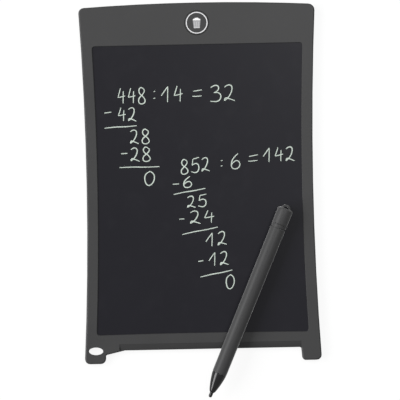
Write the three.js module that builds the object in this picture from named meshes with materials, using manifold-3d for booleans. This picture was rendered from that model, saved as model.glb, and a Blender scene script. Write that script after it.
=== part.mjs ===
// A slim writing tablet with a pressure-sensitive liquid crystal film; its stylus lies across the face.
// Millimetres. The origin is the centre of the flat back, +X is the reader's right,
// +Y points to the arched top edge and +Z out of the film.
import * as THREE from "three";
import { mergeVertices } from "three/addons/utils/BufferGeometryUtils.js";
import Module from "manifold-3d";

const wasm = await Module();
wasm.setup();

// Outline of the face
const WAIST_WIDTH = 140.2; // across the narrowest place, half way up
const SIDE_RADIUS = 1870; // the long sides are hollow arcs of this radius
const ARCH_RADIUS = 1205; // the top edge is a flat arch
const TOP_LEFT_CORNER = 3.3;
const TOP_RIGHT_CORNER = 4;
const FOOT_DROP = 8.1; // the feet reach this far below the lower edge
const FOOT_CORNER = 3.1;
const LEFT_FOOT_WIDTH = 13.1;
const RAMP_LENGTH = 11.9; // the stylus cone lies along this ramp beside the left foot
const RAMP_DROP = 2.7;
const RAMP_CORNER = 1.2;
const RIGHT_FOOT_WIDTH = 12; // at its base
const RIGHT_FOOT_SPLAY = 0.7; // wider than that at its root
const RIGHT_FOOT_CORNER = 2.2;
const EDGE_EASE = 1; // quarter round along the front and back edges

// Window over the film
const WINDOW_HEIGHT = 178.7;
const TOP_BAND = 26.1; // from the window to the crown of the arch
const BOTTOM_BAND = 9.7; // from the window to the lower edge
const SIDE_BAND = 6.9;
const SILL_RISE = 0.5; // the window's lower edge bows up by this
const WINDOW_CORNER = 1.7;
const WINDOW_CHAMFER = 0.3;

// Shells
const WALL = 1.8;
const SKIN = 1; // front shell over the hollow bands
const LIP = 0.5; // front shell over the film's margin
const FLOOR = 1.2;
const PARTING = 2; // height of the joint between the two shells
const SEAM_GROOVE = 0.3;
const TONGUE = 0.8; // the back shell's upstand that plugs into the front shell
const TONGUE_RISE = 0.8;
const FIT = 0.1; // clearance between parts that plug together
const SEAT_GAP = 0.3; // clearance round parts that only lie in place
const SNAP_LENGTH = 6;
const SNAP_DEPTH = 0.25;
const SNAP_HEIGHT = 0.35;
const SNAP_STATIONS = [-72, -24, 24, 72]; // up each long side
const TONGUE_ROOT = 0.5; // sunk into the wall that carries it
const RIB = 0.8;
const LONG_RIBS = 4;
const CROSS_RIBS = 4;
const CROSS_RIB_DROP = 0.4;

// Film stack, from the front down
const TAPE = 0.1;
const FILM = 0.2;
const ABSORBER = 0.3;
const PLATE = 0.8;
const FILM_MARGIN = 2.2; // hidden under the lip
const TAPE_SETBACK = 0.3; // the tape stops short of the window

// Coin cell, 20 mm across and 1.6 mm thick, in its well behind the top band
const CELL_DIAMETER = 20;
const CELL_THICKNESS = 1.6;
const CELL_CAP_DIAMETER = 16.6;
const CELL_STEP = 0.35;
const CELL_EASE = 0.2;
const CELL_X = 34;
const CELL_BELOW_BUTTON = 2.7;
const CELL_LIFT = 0.3; // ribs on the hatch hold the cell up
const WELL_WALL = 1;

// Battery hatch in the back
const HATCH_THICKNESS = 0.75;
const HATCH_SINK = 0.15; // the hatch lies this far inside the back face
const HATCH_WIDTH = 26;
const HATCH_ABOVE_CELL = 12;
const HATCH_BELOW_CELL = 20.5;
const HATCH_CORNER = 3;
const HATCH_LEDGE = 1.3; // the pad round the recess is this much wider
const HATCH_PAD = 0.8; // and this much thicker than the floor
const HATCH_SCREW_INSET = 3.4; // screw centre, from the hatch's lower edge
const GRIP_LINES = 3;
const GRIP_WIDTH = 8.7;
const GRIP_PITCH = 1.6;
const GRIP_DEPTH = 0.3;

// Screws
const SCREW_SHANK = 1.8;
const SCREW_HEAD = 3.4;
const SCREW_HEAD_HEIGHT = 0.75;
const SCREW_LENGTH = 2.7;
const SCREW_CLEARANCE = 0.15;
const SCREW_HEAD_EASE = [0.2, 0.1]; // across and along the screw
const SCREW_POINT = [0.45, 0.4];
const SCREW_CROSS = 0.5; // width of the driver's slots
const SCREW_CROSS_SPAN = 2;
const SCREW_CROSS_DEPTH = 0.45;
const BOSS_WALL = 1.4;
const SCREW_MARGIN = 1; // board left round a screw's head

// Circuit board and what is on it
const BOARD_WIDTH = 62;
const BOARD_HEIGHT = 17;
const BOARD_THICKNESS = 0.6;
const BOARD_TO_CELL = 6; // the board ends this far short of the cell
const BOARD_CORNER = 1;
const SWITCH_SIZE = 6;
const SWITCH_HEIGHT = 0.6;
const SWITCH_CORNER = 0.5;
const PLUNGER_DIAMETER = 3;
const PLUNGER_STEM = 0.25; // stands this far out of the switch at rest
const BUTTON_TRAVEL = 0.4;
const CHIP_DIAMETER = 6.4;
const CHIP_RISE = 0.7;
const CHIP_X = -13;
const COIL_SIZE = 4;
const COIL_HEIGHT = 0.9;
const COIL_CORNER = 0.5;
const COIL_BASE = 0.27; // thickness of its foot
const COIL_WAIST = 2.9;
const COIL_TOP = [3.7, 0.22]; // diameter and thickness of its upper flange
const COIL_X = -21.5;
const CAPACITOR_SIZE = [1.6, 0.8, 0.8];
const CAPACITOR_CORNER = 0.12;
const CAPACITOR_PITCH = 3;
const CAPACITOR_X = -10.5; // the first of a row
const CAPACITOR_ABOVE_BUTTON = 6.5;

// Erase button
const BUTTON_FROM_TOP = 12.6; // from its centre to the crown of the arch
const BUTTON_DIAMETER = 14.8;
const BUTTON_GAP = 0.25;
const BUTTON_PROUD = 0.1;
const BUTTON_EASE = 0.25; // round along its rim
const BUTTON_DISH = 0.15; // its face is slightly hollow
const BUTTON_FACE = 0.8; // thickness of its face
const BUTTON_WALL = 1;
const BUTTON_FLANGE = 1.1; // the flange catches behind the front shell
const FLANGE_THICKNESS = 0.4;
const BUTTON_PIN = 2.4;
const GUIDE_WALL = 0.8;

// Lock slider in the back
const LOCK_FROM_BOARD_END = 10; // its middle, from the board's left end
const LOCK_TRAVEL = 3;
const KNOB_LENGTH = 4.4;
const KNOB_WIDTH = 3;
const KNOB_SINK = 0.15;
const KNOB_RIDGES = 3;
const LOCK_FLANGE = 0.3;
const LOCK_FLANGE_LENGTH = 12;
const LOCK_FLANGE_WIDTH = 5;
const LOCK_BODY = [11, 5, 0.75];
const LOCK_POST = [1.2, 1, 0.4];
const THUMB_RECESS = [15, 6.6];
const THUMB_CORNER = 3.2;
const THUMB_DEPTH = 0.45;

// Flexible tail from the film to the board
const TAIL_X = -6;
const TAIL_WIDTH = 7;
const TAIL_SHEET = 0.15;
const TAIL_HOLD = 2.2; // length bonded to each end

// Cell contacts
const CONTACT_SHEET = 0.2;
const CONTACT_WIDTH = 4;
const CONTACT_FOOT = 4.5;
const CONTACT_RISE = 1; // length over which it climbs from the board
const CONTACT_SPREAD = 3.5; // each contact's distance from the cell's middle line
const CONTACT_REACH = 12; // how far the upper contact crosses the cell

// Lanyard hole through the left foot
const LANYARD_WIDTH = 8.9;
const LANYARD_HEIGHT = 4.9;
const LANYARD_FROM_SIDE = 7; // centre, from the foot's outer side
const LANYARD_BELOW_EDGE = 0.25;
const LANYARD_CHAMFER = 0.35;
const LANYARD_COLLAR = 1.3;

// Rest for the stylus between the feet
const REST_BAND = 3.9; // height of the eased strip along the lower edge
const REST_STEP = 0.2;
const REST_FALL = 0.75; // how far the strip's face falls to the edge
const REST_START = 8.5; // the strip starts this far along the ramp's foot
const NIB_HOLE_PLAY = 0.5; // wider than the nib
const NIB_HOLE_DEPTH = 4;
const NIB_HOLE_FROM_BASE = 3.9;
const NIB_HOLE_HEIGHT = 3.5;

// Stylus
const NIB_DIAMETER = 2.2;
const NIB_LENGTH = 3.4;
const NIB_ROOT = 5; // length inside the cone
const CONE_NECK_WALL = 0.2; // round the nib where it comes out
const CONE_NECK_LENGTH = 1.2;
const CONE_LENGTH = 12.3;
const CONE_TIP = 4.1; // past the neck
const CONE_BASE = 9;
const CONE_BULGE = 0.5; // how full the cone's curve is
const SPIGOT_LENGTH = 7;
const SPIGOT_LEAD = 0.5; // chamfer at the end of each spigot
const STYLUS_EASE = 0.25; // round at each joint
const BARREL_LENGTH = 98.8;
const BARREL_NOSE = 9.1;
const BARREL_TAIL = 9.5;
const BARREL_BORE = 6.6;
const GROOVE_WIDTH = 0.8;
const GROOVE_DEPTH = 0.4;
const RING_WIDTH = 1.8;
const CAP_DIAMETER = 9.65;
const CAP_LENGTH = 9.7; // up to its shoulder
const SHOULDER_LENGTH = 1.2;
const SHOULDER_EASE = [0.6, 0.25]; // across and along the cap
const EYE_WIDTH = 5.6;
const EYE_RISE = 2;
const EYE_THICKNESS = 3;
const EYE_CORNER = 2.5;
const EYE_EASE = 0.3;
const EYE_HOLE = [2.8, 1.1];
const EYE_HOLE_CORNER = 0.5;
const PLUG_GAP = 0.3; // joints along the stylus show as fine grooves
const PLUG_FIT = 0.15;
const STYLUS_LEAN = 66.88; // degrees from the tablet's width
const TIP_FROM_RIGHT_FOOT = 58; // the tip lies this far left of the foot's inner side
const TIP_BELOW_FEET = 21.5;

// Facets
const SIDE_STEPS = 8;
const CORNER_STEPS = 4;
const EASE_STEPS = 3;
const ROUND_STEPS = 40;
const STYLUS_STEPS = 36;
const SMALL_STEPS = 24;
const EYELET_STEPS = 32;
const CURVE_STEPS = 8; // along the cone and the film's tail
const DOME_STEPS = 5;

// Cutting solids run this far past what they cut.
const PAST = 1;

// Places worked out from the sizes
const bodyHeight = TOP_BAND + WINDOW_HEIGHT + BOTTOM_BAND + FOOT_DROP;
const crown = bodyHeight / 2;
const base = -bodyHeight / 2;
const lowerEdge = base + FOOT_DROP;
const windowTop = crown - TOP_BAND;
const windowBottom = windowTop - WINDOW_HEIGHT;
const buttonY = crown - BUTTON_FROM_TOP;
const cellY = buttonY - CELL_BELOW_BUTTON;

// Heights of the stack, from the back face up
const hatchSeat = HATCH_SINK + HATCH_THICKNESS;
const cellBottom = hatchSeat + CELL_LIFT;
const cellTop = cellBottom + CELL_THICKNESS;
const contactTop = cellTop + CONTACT_SHEET + FIT / 2;
const plateBottom = contactTop + FIT / 2;
const absorberBottom = plateBottom + PLATE;
const filmBottom = absorberBottom + ABSORBER;
const filmTop = filmBottom + FILM;
const lipBottom = filmTop + TAPE;
const face = lipBottom + LIP;
const skinBottom = face - SKIN;
const lockBottom = FLOOR + LOCK_FLANGE;
const boardBottom = lockBottom + LOCK_BODY[2];
const boardTop = boardBottom + BOARD_THICKNESS;
const switchTop = boardTop + SWITCH_HEIGHT;
const plungerTop = switchTop + PLUNGER_STEM;
const tongueTop = PARTING + TONGUE_RISE;

const point = (x, y) => new THREE.Vector2(x, y);

// Solids: three.js shapes turned into manifold-3d solids, which can be joined and cut
function solidOf(geometry) {
  const loose = geometry.index ? geometry.toNonIndexed() : geometry;
  const bare = new THREE.BufferGeometry();
  bare.setAttribute("position", loose.getAttribute("position"));
  const merged = mergeVertices(bare, 1e-4);
  const corners = merged.index.array;
  const kept = [];
  for (let i = 0; i < corners.length; i += 3) {
    const [a, b, c] = corners.slice(i, i + 3);
    if (a !== b && b !== c && c !== a) kept.push(a, b, c);
  }
  const mesh = new wasm.Mesh({
    numProp: 3,
    vertProperties: merged.attributes.position.array,
    triVerts: new Uint32Array(kept),
  });
  return new wasm.Manifold(mesh);
}

function geometryOf(solid) {
  const mesh = solid.getMesh();
  const geometry = new THREE.BufferGeometry();
  geometry.setAttribute("position", new THREE.BufferAttribute(mesh.vertProperties, mesh.numProp));
  geometry.setIndex(new THREE.BufferAttribute(mesh.triVerts, 1));
  const flat = geometry.toNonIndexed();
  flat.computeVertexNormals();
  return flat;
}

const join = (first, ...others) => others.reduce((sum, other) => sum.add(other), first);
const cut = (first, ...tools) => tools.reduce((rest, tool) => rest.subtract(tool), first);

function plate(points, low, high) {
  const shape = new THREE.Shape(points);
  const geometry = new THREE.ExtrudeGeometry(shape, { depth: high - low, bevelEnabled: false });
  return solidOf(geometry.translate(0, 0, low));
}

// A plate with both rims eased inwards; one step gives a chamfer, more a quarter round.
function easedPlate(points, low, high, ease, steps) {
  const geometry = new THREE.ExtrudeGeometry(new THREE.Shape(points), {
    depth: high - low - 2 * ease,
    bevelEnabled: true,
    bevelThickness: ease,
    bevelSize: ease,
    bevelOffset: -ease,
    bevelSegments: steps,
  });
  return solidOf(geometry.translate(0, 0, low + ease));
}

// A solid through a stack of outlines that have the same number of points.
function loft(levels) {
  const count = levels[0][0].length;
  const caps = THREE.ShapeUtils.triangulateShape(levels[0][0], []);
  const positions = levels.flatMap(([outline, z]) => outline.flatMap((p) => [p.x, p.y, z]));
  const faces = caps.flatMap(([a, b, c]) => [a, c, b]);
  for (let level = 1; level < levels.length; level += 1) {
    for (let i = 0; i < count; i += 1) {
      const low = (level - 1) * count;
      const next = (i + 1) % count;
      faces.push(low + i, low + next, low + count + next, low + i, low + count + next, low + count + i);
    }
  }
  const top = (levels.length - 1) * count;
  faces.push(...caps.flatMap(([a, b, c]) => [top + a, top + b, top + c]));
  const geometry = new THREE.BufferGeometry();
  geometry.setAttribute("position", new THREE.Float32BufferAttribute(positions, 3));
  return solidOf(geometry.setIndex(faces));
}

function block(x, y, z) {
  const geometry = new THREE.BoxGeometry(x[1] - x[0], y[1] - y[0], z[1] - z[0]);
  return solidOf(geometry.translate((x[0] + x[1]) / 2, (y[0] + y[1]) / 2, (z[0] + z[1]) / 2));
}

function slab(centre, size, low, high) {
  const [x, y] = centre;
  const [width, height] = size;
  return block([x - width / 2, x + width / 2], [y - height / 2, y + height / 2], [low, high]);
}

// A round solid standing along Z; a second radius makes a cone.
function disc(centre, radius, low, high, steps = ROUND_STEPS, topRadius = radius) {
  const geometry = new THREE.CylinderGeometry(topRadius, radius, high - low, steps);
  return solidOf(geometry.rotateX(Math.PI / 2).translate(centre[0], centre[1], (low + high) / 2));
}

// A turned solid about Y, from radius and height pairs that start and end on the axis or close.
function turned(profile, steps) {
  return solidOf(new THREE.LatheGeometry(profile.map(([r, y]) => point(r, y)), steps));
}

// Outlines
// Rounds each corner {x, y, r} of a closed outline with an arc; r of 0 keeps it sharp.
function rounded(corners) {
  const outline = [];
  corners.forEach((corner, i) => {
    const here = point(corner.x, corner.y);
    if (!corner.r) {
      outline.push(here);
      return;
    }
    const before = corners.at(i - 1);
    const after = corners[(i + 1) % corners.length];
    const back = point(before.x, before.y).sub(here).normalize();
    const on = point(after.x, after.y).sub(here).normalize();
    const half = Math.acos(back.dot(on)) / 2;
    const centre = back.clone().add(on).normalize().multiplyScalar(corner.r / Math.sin(half)).add(here);
    const reach = corner.r / Math.tan(half);
    const start = here.clone().addScaledVector(back, reach).sub(centre);
    const turn = Math.sign(back.cross(on)) * (2 * half - Math.PI);
    for (let k = 0; k <= CORNER_STEPS; k += 1) {
      const spoke = start.clone().rotateAround(point(0, 0), (turn * k) / CORNER_STEPS);
      outline.push(spoke.add(centre));
    }
  });
  return outline;
}

function roundedBox(centre, size, r) {
  const [x, y] = centre;
  const [w, h] = [size[0] / 2, size[1] / 2];
  const signs = [[-1, -1], [1, -1], [1, 1], [-1, 1]];
  return rounded(signs.map(([sx, sy]) => ({ x: x + sx * w, y: y + sy * h, r })));
}

function ellipse(centre, width, height) {
  return new THREE.EllipseCurve(...centre, width / 2, height / 2).getPoints(EYELET_STEPS).slice(0, -1);
}

// Half width of the body at a height y, set in from the edge.
const sideX = (y, inset) => {
  const centre = WAIST_WIDTH / 2 + SIDE_RADIUS;
  return centre - Math.sqrt((SIDE_RADIUS + inset) ** 2 - y ** 2);
};

const archY = (x, inset) => crown - ARCH_RADIUS + Math.sqrt((ARCH_RADIUS - inset) ** 2 - x ** 2);

// Where a long side meets the arch: each pass of the loop comes closer to it.
function shoulder(inset) {
  const passes = 30;
  let x = WAIST_WIDTH / 2;
  for (let i = 0; i < passes; i += 1) x = sideX(archY(x, inset), inset);
  return point(x, archY(x, inset));
}

// The points that divide the way from a to b into steps, without its ends.
const between = (a, b, steps) =>
  Array.from({ length: steps - 1 }, (_, i) => a + ((b - a) * (i + 1)) / steps);

const rightSide = (low, high, inset) =>
  between(low, high, SIDE_STEPS).map((y) => ({ x: sideX(y, inset), y, r: 0 }));

const leftSide = (low, high, inset) =>
  rightSide(low, high, inset).reverse().map(({ x, y }) => ({ x: -x, y, r: 0 }));

// From the lower right corner's first side point round to the lower left corner's last one.
function upperOutline(low, inset) {
  const top = shoulder(inset);
  return [
    ...rightSide(low, top.y, inset),
    { x: top.x, y: top.y, r: TOP_RIGHT_CORNER - inset },
    ...between(top.x, -top.x, SIDE_STEPS).map((x) => ({ x, y: archY(x, inset), r: 0 })),
    { x: -top.x, y: top.y, r: TOP_LEFT_CORNER - inset },
    ...leftSide(low, top.y, inset),
  ];
}

const footSide = sideX(base, 0);
const leftFootInner = -footSide + LEFT_FOOT_WIDTH;
const rightFootInner = footSide - RIGHT_FOOT_WIDTH;
const rampFoot = lowerEdge - RAMP_DROP;

function bodyOutline() {
  return rounded([
    { x: -footSide, y: base, r: FOOT_CORNER },
    { x: leftFootInner, y: base, r: FOOT_CORNER },
    { x: leftFootInner, y: rampFoot, r: RAMP_CORNER },
    { x: leftFootInner + RAMP_LENGTH, y: lowerEdge, r: RAMP_CORNER },
    { x: rightFootInner - RIGHT_FOOT_SPLAY, y: lowerEdge, r: RAMP_CORNER },
    { x: rightFootInner, y: base, r: RIGHT_FOOT_CORNER },
    { x: footSide, y: base, r: FOOT_CORNER },
    ...upperOutline(base, 0),
  ]);
}

// The hollow of the shells leaves the feet solid.
function shellOutline(inset) {
  const low = lowerEdge + inset;
  const side = sideX(low, inset);
  return rounded([
    { x: -side, y: low, r: FOOT_CORNER - inset },
    { x: side, y: low, r: FOOT_CORNER - inset },
    ...upperOutline(low, inset),
  ]);
}

// The window, or a layer of the film stack that reaches past it by grow.
function windowOutline(grow) {
  const inset = SIDE_BAND - grow;
  const low = windowBottom - grow;
  const high = windowTop + grow;
  const foot = sideX(low, inset);
  const head = sideX(high, inset);
  const sill = between(-foot, foot, SIDE_STEPS).map((x) => {
    const rise = SILL_RISE * (1 - (x / foot) ** 2);
    return { x, y: low + rise, r: 0 };
  });
  const r = WINDOW_CORNER + Math.max(grow, 0);
  return rounded([
    { x: -foot, y: low, r },
    ...sill,
    { x: foot, y: low, r },
    ...rightSide(low, high, inset),
    { x: head, y: high, r },
    { x: -head, y: high, r },
    ...leftSide(low, high, inset),
  ]);
}

// Features that both shells share
const lanyard = [-footSide + LANYARD_FROM_SIDE, lowerEdge - LANYARD_BELOW_EDGE];
const lanyardSize = (grow) => [LANYARD_WIDTH + 2 * grow, LANYARD_HEIGHT + 2 * grow];

// The hole widens to a chamfer at both faces.
function lanyardHole() {
  const bore = ellipse(lanyard, ...lanyardSize(0));
  const rim = ellipse(lanyard, ...lanyardSize(LANYARD_CHAMFER));
  return loft([
    [rim, -PAST],
    [rim, 0],
    [bore, LANYARD_CHAMFER],
    [bore, face - LANYARD_CHAMFER],
    [rim, face],
    [rim, face + PAST],
  ]);
}

const lanyardCollar = (grow) =>
  plate(ellipse(lanyard, ...lanyardSize(LANYARD_COLLAR + grow)), 0, face);

// Catches along the joint: a band between two insets, kept only at the stations.
function snapBand(outer, inner, low, high, length) {
  const hole = plate(shellOutline(inner), low - PAST, high + PAST);
  const ring = cut(plate(shellOutline(outer), low, high), hole);
  const across = 2 * footSide;
  const stations = SNAP_STATIONS.map((y) => slab([0, y], [across, length], low, high));
  return ring.intersect(join(...stations));
}

// Front shell
function restStrip() {
  const start = leftFootInner + REST_START;
  const end = rightFootInner - RIGHT_FOOT_SPLAY;
  const top = lowerEdge + REST_BAND;
  const profile = [
    point(lowerEdge - PAST, face + PAST),
    point(lowerEdge - PAST, face - REST_FALL),
    point(lowerEdge, face - REST_FALL),
    point(top, face - REST_STEP),
    point(top, face + PAST),
  ];
  const geometry = new THREE.ExtrudeGeometry(new THREE.Shape(profile), {
    depth: end - start,
    bevelEnabled: false,
  });
  // The profile's own X and Y become the tablet's Y and Z, and its depth runs along X.
  const basis = new THREE.Matrix4().makeBasis(
    new THREE.Vector3(0, 1, 0),
    new THREE.Vector3(0, 0, 1),
    new THREE.Vector3(1, 0, 0),
  );
  return solidOf(geometry.applyMatrix4(basis).translate(start, 0, 0));
}

function nibHole() {
  const radius = (NIB_DIAMETER + NIB_HOLE_PLAY) / 2;
  const geometry = new THREE.CylinderGeometry(radius, radius, 2 * NIB_HOLE_DEPTH, SMALL_STEPS);
  geometry.rotateZ(Math.PI / 2);
  return solidOf(geometry.translate(leftFootInner, base + NIB_HOLE_FROM_BASE, NIB_HOLE_HEIGHT));
}

function frontShell() {
  const eased = easedPlate(bodyOutline(), PARTING - 2 * EDGE_EASE, face, EDGE_EASE, EASE_STEPS);
  const seamed = easedPlate(bodyOutline(), PARTING, face + 2 * SEAM_GROOVE, SEAM_GROOVE, 1);
  const hollow = plate(shellOutline(WALL), PARTING - PAST, skinBottom);
  const socket = plate(shellOutline(WALL - TONGUE - FIT), PARTING - PAST, tongueTop + FIT);
  const notches = snapBand(
    WALL - TONGUE - FIT - SNAP_DEPTH,
    WALL,
    tongueTop - 2 * SNAP_HEIGHT - FIT,
    tongueTop,
    SNAP_LENGTH + 2 * SEAT_GAP,
  );
  const collar = lanyardCollar(0);
  const filmBed = plate(windowOutline(FILM_MARGIN + SEAT_GAP), skinBottom - PAST, lipBottom);
  const opening = loft([
    [windowOutline(0), skinBottom],
    [windowOutline(0), face - WINDOW_CHAMFER],
    [windowOutline(WINDOW_CHAMFER), face],
    [windowOutline(WINDOW_CHAMFER), face + PAST],
  ]);
  const hole = BUTTON_DIAMETER / 2 + BUTTON_GAP;
  const buttonHole = disc([0, buttonY], hole, skinBottom - PAST, face + PAST);
  const guideInner = hole + BUTTON_FLANGE;
  const guide = cut(
    disc([0, buttonY], guideInner + GUIDE_WALL, boardTop + BUTTON_TRAVEL, skinBottom),
    disc([0, buttonY], guideInner, 0, skinBottom),
  );
  const shell = cut(
    eased.intersect(seamed),
    cut(join(hollow, socket, notches), collar),
    filmBed,
    opening,
    restStrip(),
    nibHole(),
  );
  return cut(join(shell, guide), buttonHole, lanyardHole());
}

// Back shell
const hatchCentre = [CELL_X, cellY + (HATCH_ABOVE_CELL - HATCH_BELOW_CELL) / 2];
const hatchLength = HATCH_ABOVE_CELL + HATCH_BELOW_CELL;
const hatchScrew = [CELL_X, cellY - HATCH_BELOW_CELL + HATCH_SCREW_INSET];
const hatchOutline = (grow) =>
  roundedBox(hatchCentre, [HATCH_WIDTH + 2 * grow, hatchLength + 2 * grow], HATCH_CORNER + grow);

const boardRight = CELL_X - CELL_DIAMETER / 2 - BOARD_TO_CELL;
const boardLeft = boardRight - BOARD_WIDTH;
const boardCentre = [(boardLeft + boardRight) / 2, buttonY];
const lockX = boardLeft + LOCK_FROM_BOARD_END;
const screwEdge = SCREW_HEAD / 2 + SCREW_MARGIN;
const boardScrews = [
  [boardLeft + screwEdge, buttonY - BOARD_HEIGHT / 2 + screwEdge],
  [boardRight - screwEdge, buttonY + BOARD_HEIGHT / 2 - screwEdge],
];
const pilotRadius = SCREW_SHANK / 2 + SCREW_CLEARANCE;
const bossRadius = pilotRadius + BOSS_WALL;

// Ribs under the film's backing plate, clear of the hatch: long ones carry it, lower cross ribs tie them.
function ribs() {
  const half = sideX(0, SIDE_BAND + RIB) - RIB / 2;
  const low = windowBottom + RIB;
  const high = hatchCentre[1] - hatchLength / 2 - HATCH_LEDGE - 2 * RIB;
  const bars = [];
  for (let i = 0; i < LONG_RIBS; i += 1) {
    const x = -half + (2 * half * i) / (LONG_RIBS - 1);
    bars.push(slab([x, (low + high) / 2], [RIB, high - low], FLOOR / 2, plateBottom));
  }
  for (let i = 1; i <= CROSS_RIBS; i += 1) {
    const y = low + ((high - low) * i) / (CROSS_RIBS + 1);
    bars.push(slab([0, y], [2 * half, RIB], FLOOR / 3, plateBottom - CROSS_RIB_DROP));
  }
  return join(...bars);
}

// Low pads that carry the board, each with a pilot hole for its screw.
const boardBosses = () =>
  join(...boardScrews.map((centre) => disc(centre, bossRadius, FLOOR / 2, boardBottom, SMALL_STEPS)));

function cellWell() {
  const ring = disc([CELL_X, cellY], CELL_DIAMETER / 2 + SEAT_GAP + WELL_WALL, hatchSeat, cellTop - FIT);
  const pad = plate(hatchOutline(HATCH_LEDGE), FLOOR / 2, FLOOR + HATCH_PAD);
  const boss = disc(hatchScrew, bossRadius, hatchSeat, plateBottom - FIT, SMALL_STEPS);
  return join(ring, pad, boss);
}

const bladeX = CELL_X - CELL_DIAMETER / 2 - FIT;
const positiveY = cellY - CONTACT_SPREAD;
const negativeY = cellY + CONTACT_SPREAD;

function cellWellCuts() {
  const bore = disc([CELL_X, cellY], CELL_DIAMETER / 2 + SEAT_GAP, hatchSeat, plateBottom);
  const recess = plate(hatchOutline(FIT), -PAST, hatchSeat);
  const bladeSlot = block(
    [bladeX - CONTACT_SHEET - SEAT_GAP - WELL_WALL, CELL_X],
    [positiveY - CONTACT_WIDTH / 2 - SEAT_GAP, positiveY + CONTACT_WIDTH / 2 + SEAT_GAP],
    [cellBottom, plateBottom],
  );
  const pilot = disc(hatchScrew, pilotRadius, 0, plateBottom, SMALL_STEPS);
  return join(bore, recess, bladeSlot, pilot);
}

const knobRest = lockX - LOCK_TRAVEL / 2;

function lockCuts() {
  const slot = [KNOB_LENGTH + LOCK_TRAVEL + 2 * SEAT_GAP, KNOB_WIDTH + 2 * FIT];
  const through = slab([lockX, buttonY], slot, -PAST, lockBottom);
  const recess = easedPlate(
    roundedBox([lockX, buttonY], THUMB_RECESS, THUMB_CORNER),
    -THUMB_DEPTH,
    THUMB_DEPTH,
    THUMB_DEPTH / 2,
    2,
  );
  return join(through, recess);
}

function backShell() {
  const eased = easedPlate(bodyOutline(), 0, PARTING + 2 * EDGE_EASE, EDGE_EASE, EASE_STEPS);
  const seamed = easedPlate(bodyOutline(), -2 * SEAM_GROOVE, PARTING, SEAM_GROOVE, 1);
  const pan = cut(plate(shellOutline(WALL), FLOOR, PARTING + PAST), lanyardCollar(0));
  const tray = cut(eased.intersect(seamed), pan);
  const tongueOuter = WALL - TONGUE;
  const tongue = cut(
    plate(shellOutline(tongueOuter), PARTING - TONGUE_ROOT, tongueTop),
    plate(shellOutline(WALL), 0, tongueTop + PAST),
  );
  const beads = snapBand(
    tongueOuter - SNAP_DEPTH,
    tongueOuter + TONGUE / 2,
    tongueTop - 2 * SNAP_HEIGHT,
    tongueTop - SNAP_HEIGHT,
    SNAP_LENGTH,
  );
  const rim = cut(join(tongue, beads), lanyardCollar(SEAT_GAP));
  const shell = join(tray, rim, ribs(), boardBosses(), cellWell());
  const pilots = boardScrews.map((centre) =>
    disc(centre, pilotRadius, FLOOR / 2, boardBottom + PAST, SMALL_STEPS),
  );
  return cut(shell, cellWellCuts(), lockCuts(), lanyardHole(), ...pilots);
}

// Film stack
const tailNotch = (low, high) =>
  block(
    [TAIL_X - TAIL_WIDTH / 2 - SEAT_GAP, TAIL_X + TAIL_WIDTH / 2 + SEAT_GAP],
    [windowTop + FILM_MARGIN - TAIL_HOLD - SEAT_GAP, windowTop + FILM_MARGIN + PAST],
    [low, high],
  );

const tapeFrame = () =>
  cut(plate(windowOutline(FILM_MARGIN), filmTop, lipBottom), plate(windowOutline(TAPE_SETBACK), 0, face));

const writingFilm = () => plate(windowOutline(FILM_MARGIN), filmBottom, filmTop);

const absorberSheet = () =>
  cut(plate(windowOutline(FILM_MARGIN), absorberBottom, filmBottom), tailNotch(0, face));

const backingPlate = () =>
  cut(plate(windowOutline(FILM_MARGIN), plateBottom, absorberBottom), tailNotch(0, face));

// The tail leaves the underside of the film, bends down past its edge and lies on the board.
function flexTail() {
  const filmEdge = windowTop + FILM_MARGIN;
  const boardEdge = buttonY - BOARD_HEIGHT / 2;
  const high = filmBottom - TAIL_SHEET;
  const low = boardTop;
  const bendStart = filmEdge - TAIL_HOLD / 2;
  const lower = [point(filmEdge - TAIL_HOLD, high)];
  for (let i = 0; i <= CURVE_STEPS; i += 1) {
    const t = i / CURVE_STEPS;
    const drop = (1 - Math.cos(Math.PI * t)) / 2;
    lower.push(point(bendStart + (boardEdge - bendStart) * t, high + (low - high) * drop));
  }
  lower.push(point(boardEdge + TAIL_HOLD, low));
  const upper = lower.map((p) => point(p.x, p.y + TAIL_SHEET)).reverse();
  const geometry = new THREE.ExtrudeGeometry(new THREE.Shape([...lower, ...upper]), {
    depth: TAIL_WIDTH,
    bevelEnabled: false,
  });
  const basis = new THREE.Matrix4().makeBasis(
    new THREE.Vector3(0, 1, 0),
    new THREE.Vector3(0, 0, 1),
    new THREE.Vector3(1, 0, 0),
  );
  return solidOf(geometry.applyMatrix4(basis).translate(TAIL_X - TAIL_WIDTH / 2, 0, 0));
}

// Erase button, its switch and its plunger
function eraseButton() {
  const r = BUTTON_DIAMETER / 2;
  const top = face + BUTTON_PROUD;
  const under = top - BUTTON_DISH - BUTTON_FACE;
  const flangeBottom = skinBottom - FLANGE_THICKNESS;
  const pin = BUTTON_PIN / 2;
  const profile = [
    [0, plungerTop],
    [pin, plungerTop],
    [pin, under],
    [r - BUTTON_WALL, under],
    [r - BUTTON_WALL, flangeBottom],
    [r + BUTTON_FLANGE, flangeBottom],
    [r + BUTTON_FLANGE, skinBottom],
    [r, skinBottom],
    [r, top - BUTTON_EASE],
    [r - BUTTON_EASE * (1 - Math.SQRT1_2), top - BUTTON_EASE * (1 - Math.SQRT1_2)],
    [r - BUTTON_EASE, top],
    [r / 2, top - BUTTON_DISH * 0.75],
    [0, top - BUTTON_DISH],
  ];
  const geometry = new THREE.LatheGeometry(profile.map(([x, y]) => point(x, y)), ROUND_STEPS);
  return solidOf(geometry.rotateX(Math.PI / 2).translate(0, buttonY, 0));
}

const switchHousing = () =>
  cut(
    plate(roundedBox([0, buttonY], [SWITCH_SIZE, SWITCH_SIZE], SWITCH_CORNER), boardTop, switchTop),
    disc([0, buttonY], PLUNGER_DIAMETER / 2 + FIT, switchTop - BUTTON_TRAVEL - FIT, face, SMALL_STEPS),
  );

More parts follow.
